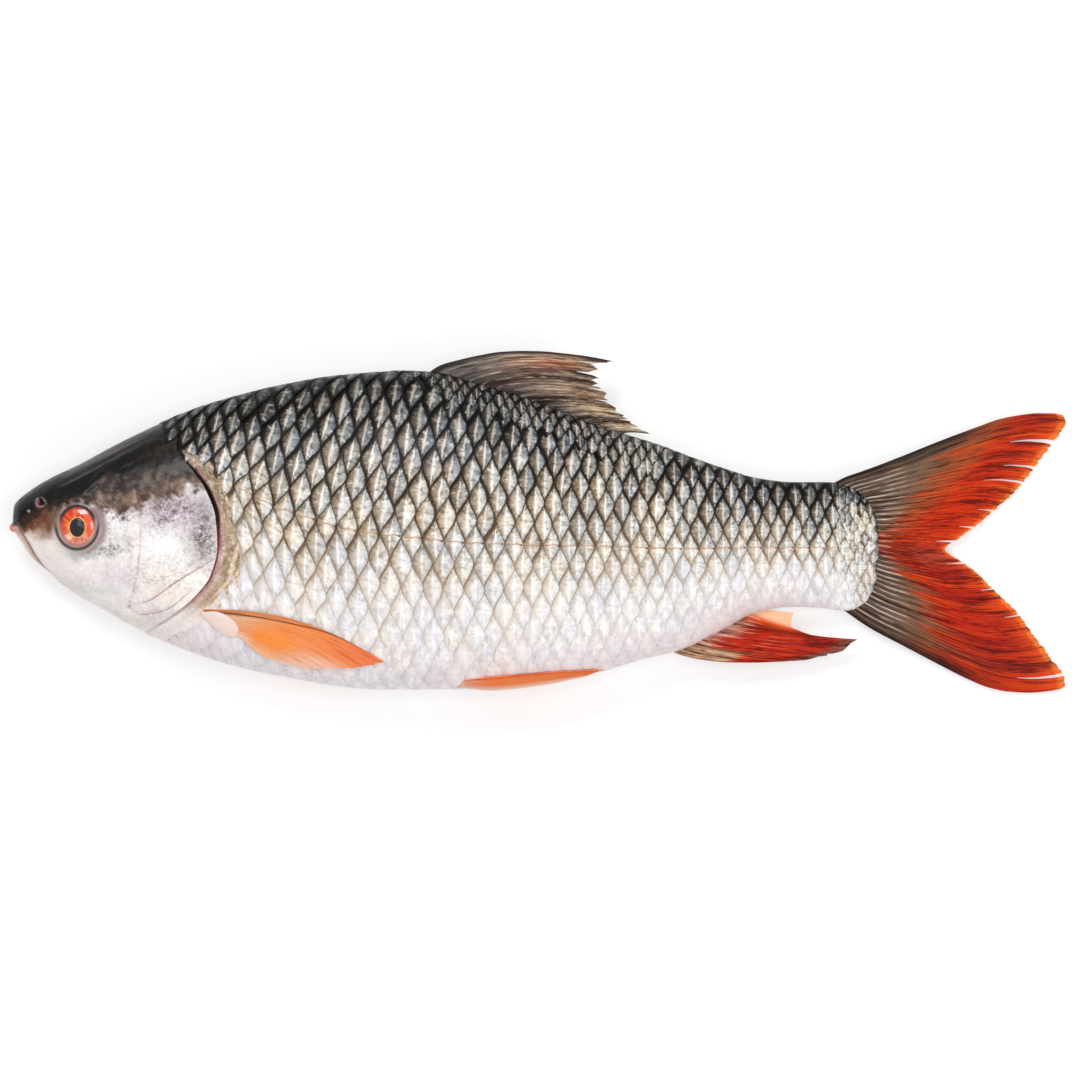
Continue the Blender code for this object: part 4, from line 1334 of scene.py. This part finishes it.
def across_3d(points, count):
    """A smooth line of count points through points in millimetres, in metres."""
    points = np.array(points, float)
    t = np.linspace(0, 1, len(points))
    curves = [smooth_curve(list(zip(t, points[:, k]))) for k in range(points.shape[1])]
    at = np.linspace(0, 1, count)
    return np.stack([curve(at) for curve in curves], axis=-1) * MM


def ray_relief(u, v, rays):
    """Height of the rays from 0 to 1: each ray splits in two, and again nearer its tip."""
    whole = np.abs(np.cos(np.pi * rays * u))
    halves = np.abs(np.cos(np.pi * (2 * rays * u - 0.5)))
    quarters = np.abs(np.cos(np.pi * (4 * rays * u)))
    once, twice = ease(0.25, 0.45, v), ease(0.55, 0.75, v)
    return (whole * (1 - once) + halves * once) * (1 - twice) + quarters * twice


def ray_tone(u, v, rays, seed):
    """A random tone from -1 to 1 for each ray, and for each of its halves beyond where it splits."""
    chance = np.random.default_rng(seed)
    coarse = chance.uniform(-1, 1, 4 * rays + 4)
    fine = chance.uniform(-1, 1, 4 * rays + 4)
    whole = coarse[np.floor(u * rays).astype(int)]
    half = fine[np.floor(u * rays * 2).astype(int)]
    return 0.6 * whole + 0.5 * half * ease(0.1, 0.4, v)


def saw(u, teeth, seed):
    """How much each ray tip falls short of the fin's outline, from 0 at its point to 1 between points."""
    chance = np.random.default_rng(seed)
    inner = np.linspace(0, 1, teeth)[1:-1] + chance.uniform(-0.4, 0.4, teeth - 2) / teeth
    cuts = np.sort(np.concatenate([[0, 1], inner]))
    tooth = np.clip(np.searchsorted(cuts, u, side="right") - 1, 0, len(cuts) - 2)
    within = (u - cuts[tooth]) / (cuts[tooth + 1] - cuts[tooth])
    short = chance.uniform(0, 0.4, len(cuts))[tooth]
    return (0.65 * np.abs(2 * within - 0.8) ** 0.9 / 1.2 + short) * np.clip(np.minimum(u, 1 - u) / 0.06, 0, 1)


def open_tears(u, v, tears):
    """Shares across a fin, pushed apart beside its tears. Each tear is (u, v where it starts, gap)."""
    moved = u.copy()
    for at, start, gap in tears:
        opening = gap / 2 * np.clip((v - start) / (1 - start), 0, 1)
        moved = moved + np.sign(u - at) * opening * np.exp(-np.abs(u - at) / 0.035)
    return np.clip(moved, 0, 1)


def rim_faces(quads, count):
    """Quads that join the open edges of a sheet to those of its copy, whose points start at count."""
    ends = np.concatenate([quads[:, [k, (k + 1) % 4]] for k in range(4)])
    key = np.sort(ends, axis=1).astype(np.int64)
    _, first, times = np.unique(key[:, 0] * count + key[:, 1], return_index=True, return_counts=True)
    rim = ends[first[times == 1]]
    return np.stack([rim[:, 1], rim[:, 0], rim[:, 0] + count, rim[:, 1] + count], axis=1)


def fin_piece(name, sheet, rays, colours, material, root, edge, size, ragged, teeth, tears=()):
    """A thin fin with rays, which is root thick at its base and edge thick at its tips.

    sheet(u, v) gives points and normals in the fish's frame, u across the rays and v along them.
    """
    columns, rows = size
    u = np.linspace(0, 1, columns)
    U, V = np.meshgrid(u, np.linspace(0, 1, rows), indexing="ij")
    tips = 1 - ragged * saw(u, teeth, rays) - 0.004 * rng.random(columns)
    reach = V * (1 + (tips[:, None] - 1) * ease(0.6, 1, V))
    points, normals = sheet(open_tears(U, V, tears), reach)
    relief = ray_relief(U, V, rays)
    thick = (root + (edge - root) * V**0.7) * (0.7 + 0.3 * relief)
    half = normals * thick[..., None] / 2
    torn = np.zeros((columns - 1, rows - 1), bool)
    for at, start, _ in tears:
        torn[int(at * (columns - 1)), int(start * (rows - 1)):] = True
    quads = grid_faces(columns, rows)[~torn.ravel()]
    count = columns * rows
    faces = np.concatenate([quads, quads[:, ::-1] + count, rim_faces(quads, count)])
    mesh_piece(
        name, in_world([points + half, points - half]), faces, material,
        tint=[colours(U, V)] * 2, fin=[stacked(U, V, relief)] * 2,
    )


def middle_sheet(base, tips, front, rear, wave):
    """The sheet of a fin in the middle plane between its edges, with a gentle wave across its rays."""
    base, tips, front, rear = (across(line) for line in (base, tips, front, rear))

    def sheet(u, v):
        def straight(u):
            start = base(u)
            return start + (tips(u) - start) * v[..., None]

        at = straight(u)
        at = at + (front(v) - straight(0.0)) * ((1 - u) ** 2)[..., None]
        at = at + (rear(v) - straight(1.0)) * (u**2)[..., None]
        sway = wave * v * np.sin(11 * u + 2 * v)
        return stacked(at[..., 0], at[..., 1], sway), np.zeros((*u.shape, 3)) + [0, 0, 1.0]

    return sheet


def breast_sheet(side):
    """The sheet of a breast fin, folded back along the flank."""
    base, tips, bow = across(BREAST_BASE), across(BREAST_TIPS), smooth_curve(BREAST_BOW)

    def sheet(u, v):
        start = base(u)
        chord = tips(u) - start
        square = stacked(-chord[..., 1], chord[..., 0]) / np.linalg.norm(chord, axis=-1, keepdims=True)
        at = start + chord * v[..., None] + square * (bow(u) * MM * np.sin(np.pi * v))[..., None]
        lift = 2.2 * ease(0, 0.3, v) - 0.4 - 0.7 * ease(0.5, 1, v) + 0.25 * np.sin(9 * u + 3 * v)
        out = half_width_at(at[..., 0], at[..., 1]) + MM * lift
        points = stacked(at[..., 0], at[..., 1], side * out)
        return points, np.zeros_like(points) + [0, -0.45, side * 0.89]

    return sheet


def belly_sheet(side):
    """The sheet of a belly fin, folded back flat along the edge of the belly."""
    upper, lower = by_station(BELLY_FIN_UPPER), by_station(BELLY_FIN_LOWER)

    def sheet(u, v):
        s = BELLY_FIN_START + (BELLY_FIN_END - BELLY_FIN_START) * v * (1 - 0.1 * u)
        level = upper(s) + (lower(s) - upper(s)) * u
        share = share_at(s, np.maximum(level, belly_level(s) + 0.05 * MM))
        normal = body_normals(s, np.minimum(share, 0.99))
        points = on_body(s, share) + normal * (MM * (1.4 * ease(0, 0.3, v) - 0.5))[..., None]
        turn = np.array([1.0, 1.0, side])
        return points * turn, normal * turn

    return sheet


def tail_colours(u, v):
    """Brown at the root, deep red beyond, and dark along both edges."""
    tone = ray_tone(u, v, TAIL_RAYS, 3)
    red_from = smooth_curve([
        (0, 0.62), (0.12, 0.52), (0.25, 0.42), (0.4, 0.28), (0.5, 0.14), (0.6, 0.32), (0.75, 0.46), (1, 0.42),
    ])(u)
    red = ease(-0.14, 0.14, v - red_from + 0.12 * tone)
    lower = ease(0.45, 0.6, u)
    edge = np.minimum(u, 1 - u)
    return paint((122, 102, 84), [
        (lower * ease(0.5, 0.2, v) * 0.5, (100, 78, 70)),
        (ease(0.3, 0.0, v) * 0.6, (92, 78, 68)),
        (ease(0.2, 1, tone) * 0.6, (150, 130, 110)),
        (ease(-0.2, -1, tone) * 0.6, (84, 66, 56)),
        (bell(u - 0.58, 0.1) * bell(v - 0.34, 0.2) * 0.85, (70, 46, 48)),
        (bell(v - red_from, 0.14) * 0.7, (146, 86, 48)),
        (red * (1 - lower), (200, 44, 2)),
        (red * lower, (178, 28, 4)),
        (red * ease(0.1, 1, tone) * 0.7, (226, 74, 8)),
        (red * ease(-0.1, -1, tone) * 0.75, (124, 16, 4)),
        (red * bell(u - 0.5, 0.1) * ease(0.9, 0.5, v) * 0.5, (116, 20, 14)),
        (bell(v - red_from - 0.06, 0.1) * (1 - lower) * 0.55, (164, 84, 38)),
        (red * bell(edge - 0.08, 0.05) * lower * ease(0.95, 0.6, v) * 0.5, (160, 56, 36)),
        (red * ease(0.86, 1.0, v) * 0.7, (236, 82, 14)),
        (red * ease(0.965, 0.985, v) * 0.6, (250, 142, 54)),
        (bell(edge, 0.03) * ease(0.8, 0.5, v) * 0.95, (24, 17, 15)),
        (bell(edge - 0.05, 0.035) * ease(0.6, 0.3, v) * 0.6, (84, 64, 50)),
    ])


def dorsal_colours(u, v):
    """Grey at the root, brown beyond, with pale and dark rays."""
    tone = ray_tone(u, v, DORSAL_RAYS, 5)
    return paint((130, 108, 95), [
        (ease(0.4, 0.08, v) * 0.88, (72, 67, 67)),
        (ease(0.35, 0.8, v) * ease(0.2, 0.5, u) * 0.75, (186, 152, 116)),
        (bell(u - 0.12, 0.075) * bell(v - 0.68, 0.24) * 0.85, (182, 100, 50)),
        (ease(0.1, 0.9, tone) * ease(0.15, 0.5, v) * 0.85, (218, 194, 164)),
        (ease(-0.05, -0.6, tone) * 0.88, (56, 38, 30)),
        (bell(u, 0.04) * 0.95, (30, 24, 22)),
        (bell(u - 0.09, 0.05) * ease(0.6, 0.3, v) * 0.6, (136, 126, 124)),
        (bell(u - 1, 0.06) * 0.7, (64, 48, 42)),
        (ease(0.85, 1, v) * 0.3, (88, 66, 52)),
    ])


def anal_colours(u, v):
    """Red with a pale root, a tan front edge and a pale orange rear."""
    tone = ray_tone(u, v, ANAL_RAYS, 8)
    front = ease(0.24, 0.18, u) * ease(0.62, 0.48, v + 0.5 * u)
    return paint((188, 38, 14), [
        (ease(0.24, 0.06, v + 0.1 * tone) * 0.9, (226, 184, 158)),
        (ease(0.2, 0.9, tone) * ease(0.1, 0.3, v) * 0.6, (228, 84, 34)),
        (ease(-0.1, -0.9, tone) * 0.65, (116, 20, 14)),
        (ease(0.62, 0.8, u) * 0.7, (226, 92, 36)),
        (ease(0.82, 0.95, u) * 0.95, (246, 194, 154)),
        (front * 0.95, (206, 170, 132)),
        (front * bell(u - 0.09, 0.02) * 0.8, (126, 84, 62)),
        (bell(u - 0.21, 0.024) * ease(0.6, 0.45, v) * 0.9, (118, 68, 48)),
        (bell(u, 0.02) * 0.8, (130, 88, 64)),
        (bell(u - 0.64, 0.02) * ease(0.15, 0.3, v) * 0.8, (92, 30, 22)),
        (ease(0.66, 0.5, u) * ease(0.84, 0.96, v) * 0.85, (118, 86, 68)),
    ])


def breast_colours(u, v):
    """Orange with a pale root and border, and a dark line behind the front edge, painted as the shadow under
    that edge.
    """
    border = ease(0.25, 0.6, u) * ease(0.55, 0.95, v)
    line_at = 0.1 * ease(0.75, 0.35, v)
    line_width = 0.013 + 0.034 * ease(0.4, 0.0, v)
    fringe = ease(0.0, -0.03, u - line_at)
    return paint((240, 144, 80), [
        (ease(0.5, 0.05, v) * ease(0.75, 0.2, u) * 0.95, (226, 190, 156)),
        (bell(u - 0.55, 0.24) * bell(v - 0.42, 0.2) * 0.8, (252, 146, 54)),
        (ease(0.6, 1, u) * 0.85, (255, 198, 156)),
        (ease(0.34, 0.08, v) * ease(0.4, 0.8, u) * 0.9, (250, 222, 206)),
        (ease(0.6, 0.9, v) * ease(0.4, 0.15, u) * 0.75, (240, 122, 80)),
        (border * 0.85, (252, 212, 190)),
        (fringe * 0.95, (216, 136, 82)),
        # Painted shadow: the dark line under the front edge
        (bell(u - line_at + 0.02 * ease(0.3, 0, v), line_width) * ease(1.0, 0.6, v) * 0.95, (74, 36, 16)),
    ])


def belly_fin_colours(u, v):
    """Orange, paler at the root and along the lower edge."""
    return paint((244, 132, 72), [
        (ease(0.25, 0.0, v) * 0.8, (238, 190, 172)),
        (ease(0.55, 0.95, u) * 0.8, (248, 214, 192)),
        (bell(u - 0.06, 0.06) * 0.6, (206, 84, 48)),
    ])


def breast_lobe(side, material):
    """The pale fleshy lobe over the root of a breast fin."""
    rows, columns = 32, 28
    t = np.linspace(0.02, 0.98, rows)[:, None]
    turn = np.linspace(0, 2 * math.pi, columns, endpoint=False)
    centre = across(LOBE)(t)
    wide = 3.7 * MM * np.sin(np.pi * t**1.3) ** 0.6
    s = centre[..., 0] + wide * np.cos(turn) * 0.42
    h = centre[..., 1] + wide * np.cos(turn)
    out = half_width_at(s, h) + 0.4 * MM + 1.3 * MM * np.sin(np.pi * t) ** 0.8 * np.sin(turn)
    tint = paint((238, 214, 204), [
        (ease(0.6, 0.05, t) * 0.85, (230, 208, 200)),
        (ease(0.2, 1.0, np.cos(turn)) * ease(0.4, 0.8, t) * 0.5, (236, 176, 160)),
        # Painted shade at the lobe's rear end
        (ease(0.85, 1.0, t) * 0.7, (196, 136, 118)),
    ])
    mesh_piece(
        f"breast_lobe_{SIDE_NAMES[side]}", in_world(stacked(s, h, side * out)),
        grid_faces(rows, columns, wrap=True), material,
        tint=tint, flecks=np.zeros((rows, columns, 3)) + [0, 0.1, 0.35],
    )


def plain_material(name, colour, roughness):
    """A material of one colour, a little paler in places."""
    n = Nodes(name)
    fine = n.noise(n.place(), 700.0, 3.0)
    n.colour(n.mix(n.rise(fine, 0.3, 0.7), colour, tuple(min(255, c * 1.25 + 6) for c in colour)))
    n.roughness(roughness)
    n.bump(fine, 0.0001)
    return n.material


def small_pieces(skin):
    """The lateral lines, eyes, seams and lip."""
    for side in SIDE_NAMES:
        lateral_line(side, skin)
    iris = iris_material()
    gold = plain_material("gold_ring", (252, 176, 92), 0.25)
    seam = plain_material("seam", (150, 118, 110), 0.45)
    for side in SIDE_NAMES:
        eye(side, iris, gold)
    for side in SIDE_NAMES:
        head_seams(side, seam)
    lip(plain_material("lip_flesh", (190, 104, 84), 0.35))


def middle_fins():
    """Tail fin, dorsal fin and anal fin."""
    red = fin_material(
        "red_fin", TAIL_RAYS, streak=(106, 42, 28), ray_highlight=(255, 118, 44), ray_highlight_amount=0.36,
        root_ray_highlight=(232, 220, 204), root_amount=0.85, streaky=0.7,
    )
    brown = fin_material(
        "brown_fin", DORSAL_RAYS, streak=(80, 64, 56), ray_highlight=(246, 230, 210), ray_highlight_amount=0.85,
        root_ray_highlight=(160, 146, 138), root_amount=0.4, streaky=0.8,
    )
    crimson = fin_material(
        "anal_red", ANAL_RAYS + 1, streak=(112, 50, 38), ray_highlight=(255, 150, 100), ray_highlight_amount=0.5,
        root_ray_highlight=(236, 210, 186), root_amount=0.6, streaky=1.0, plain_from=0.84,
    )
    tail = middle_sheet(TAIL_BASE, TAIL_TIPS, TAIL_FRONT, TAIL_REAR, 0.5 * MM)
    dorsal = middle_sheet(DORSAL_BASE, DORSAL_TIPS, DORSAL_FRONT, DORSAL_REAR, 0.6 * MM)
    anal = middle_sheet(ANAL_BASE, ANAL_TIPS, ANAL_FRONT, ANAL_REAR, 0.5 * MM)
    fin_piece(
        "tail_fin", tail, TAIL_RAYS, tail_colours, red, root=3.0 * MM, edge=0.5 * MM,
        size=(660, 56), ragged=0.014, teeth=50, tears=TAIL_TEARS,
    )
    fin_piece(
        "dorsal_fin", dorsal, DORSAL_RAYS, dorsal_colours, brown, root=2.6 * MM, edge=0.5 * MM,
        size=(300, 56), ragged=0.1, teeth=12, tears=DORSAL_TEARS,
    )
    fin_piece(
        "anal_fin", anal, ANAL_RAYS, anal_colours, crimson, root=2.4 * MM, edge=0.5 * MM,
        size=(180, 46), ragged=0.05, teeth=9,
    )


def folded_fins(skin):
    """Breast fins with their lobes, and belly fins."""
    orange = fin_material(
        "orange_fin", BREAST_RAYS, streak=(236, 196, 178), ray_highlight=(255, 226, 202), ray_highlight_amount=0.45,
        root_ray_highlight=(250, 214, 186), root_amount=0.35, streaky=0.2,
    )
    for side, name in SIDE_NAMES.items():
        fin_piece(
            f"breast_fin_{name}", breast_sheet(side), BREAST_RAYS, breast_colours, orange,
            root=1.4 * MM, edge=0.4 * MM, size=(180, 48), ragged=0.015, teeth=15,
        )
        fin_piece(
            f"belly_fin_{name}", belly_sheet(side), BELLY_FIN_RAYS, belly_fin_colours, orange,
            root=1.2 * MM, edge=0.5 * MM, size=(70, 44), ragged=0.03, teeth=6,
        )
        breast_lobe(side, skin)


def build_fish():
    """All pieces. Their order sets what each one draws from rng."""
    skin = skin_material()
    scale = scale_material()
    head(skin)
    core(skin)
    centres = scale_centres()
    scales(1, centres, scale)
    # The left side holds the scales on the middle of the back and of the belly
    off_middle = (centres[:, 4] > -0.006) & (centres[:, 4] < 1)
    scales(-1, centres[off_middle], scale)
    small_pieces(skin)
    middle_fins()
    folded_fins(skin)


# Floor, lamps and camera


def studio():
    """A pale floor, a soft pale surround, large soft lamps and a long lens looking straight down."""
    scene = bpy.context.scene
    mesh = bpy.data.meshes.new("floor")
    mesh.from_pydata([(-3, -3, 0), (3, -3, 0), (3, 3, 0), (-3, 3, 0)], [], [(0, 1, 2, 3)])
    floor = bpy.data.objects.new("floor", mesh)
    scene.collection.objects.link(floor)
    n = Nodes("floor", Roughness=0.9, Specular_IOR_Level=0.0)
    fine = n.noise(n.place(), 30.0)
    n.colour(n.mix(fine, (204, 204, 204), (207, 207, 207)))
    n.shader.inputs["Emission Color"].default_value = (1, 1, 1, 1)
    n.shader.inputs["Emission Strength"].default_value = 0.44
    mesh.materials.append(n.material)

    world = bpy.data.worlds.new("studio")
    scene.world = world
    world.use_nodes = True
    world.node_tree.nodes["Background"].inputs["Color"].default_value = (1, 1, 1, 1)
    world.node_tree.nodes["Background"].inputs["Strength"].default_value = 0.48

    def lamp(name, place, size, power):
        data = bpy.data.lights.new(name, "AREA")
        data.shape = "RECTANGLE"
        data.size, data.size_y = size
        data.energy = power
        obj = bpy.data.objects.new(name, data)
        obj.location = place
        obj.rotation_euler = (Vector((0, 0, 0)) - Vector(place)).to_track_quat("-Z", "Y").to_euler()
        scene.collection.objects.link(obj)

    lamp("key", (-0.5, 0.9, 1.5), (0.8, 0.4), 13.0)
    lamp("fill", (0.7, -0.8, 1.4), (1.2, 0.8), 7.5)
    lamp("top", (0.25, 0.1, 1.9), (0.5, 0.5), 7.0)

    camera = bpy.data.cameras.new("camera")
    view = bpy.data.objects.new("camera", camera)
    distance, seen = 9.0, 432 * MM
    camera.sensor_width = 36
    camera.lens = camera.sensor_width * distance / seen
    camera.clip_end = 20
    view.location = (-0.2 * MM, -7.2 * MM, distance + 0.02)
    scene.collection.objects.link(view)
    scene.camera = view
    scene.view_settings.view_transform = "Standard"
    scene.view_settings.look = "None"


studio()
build_fish()
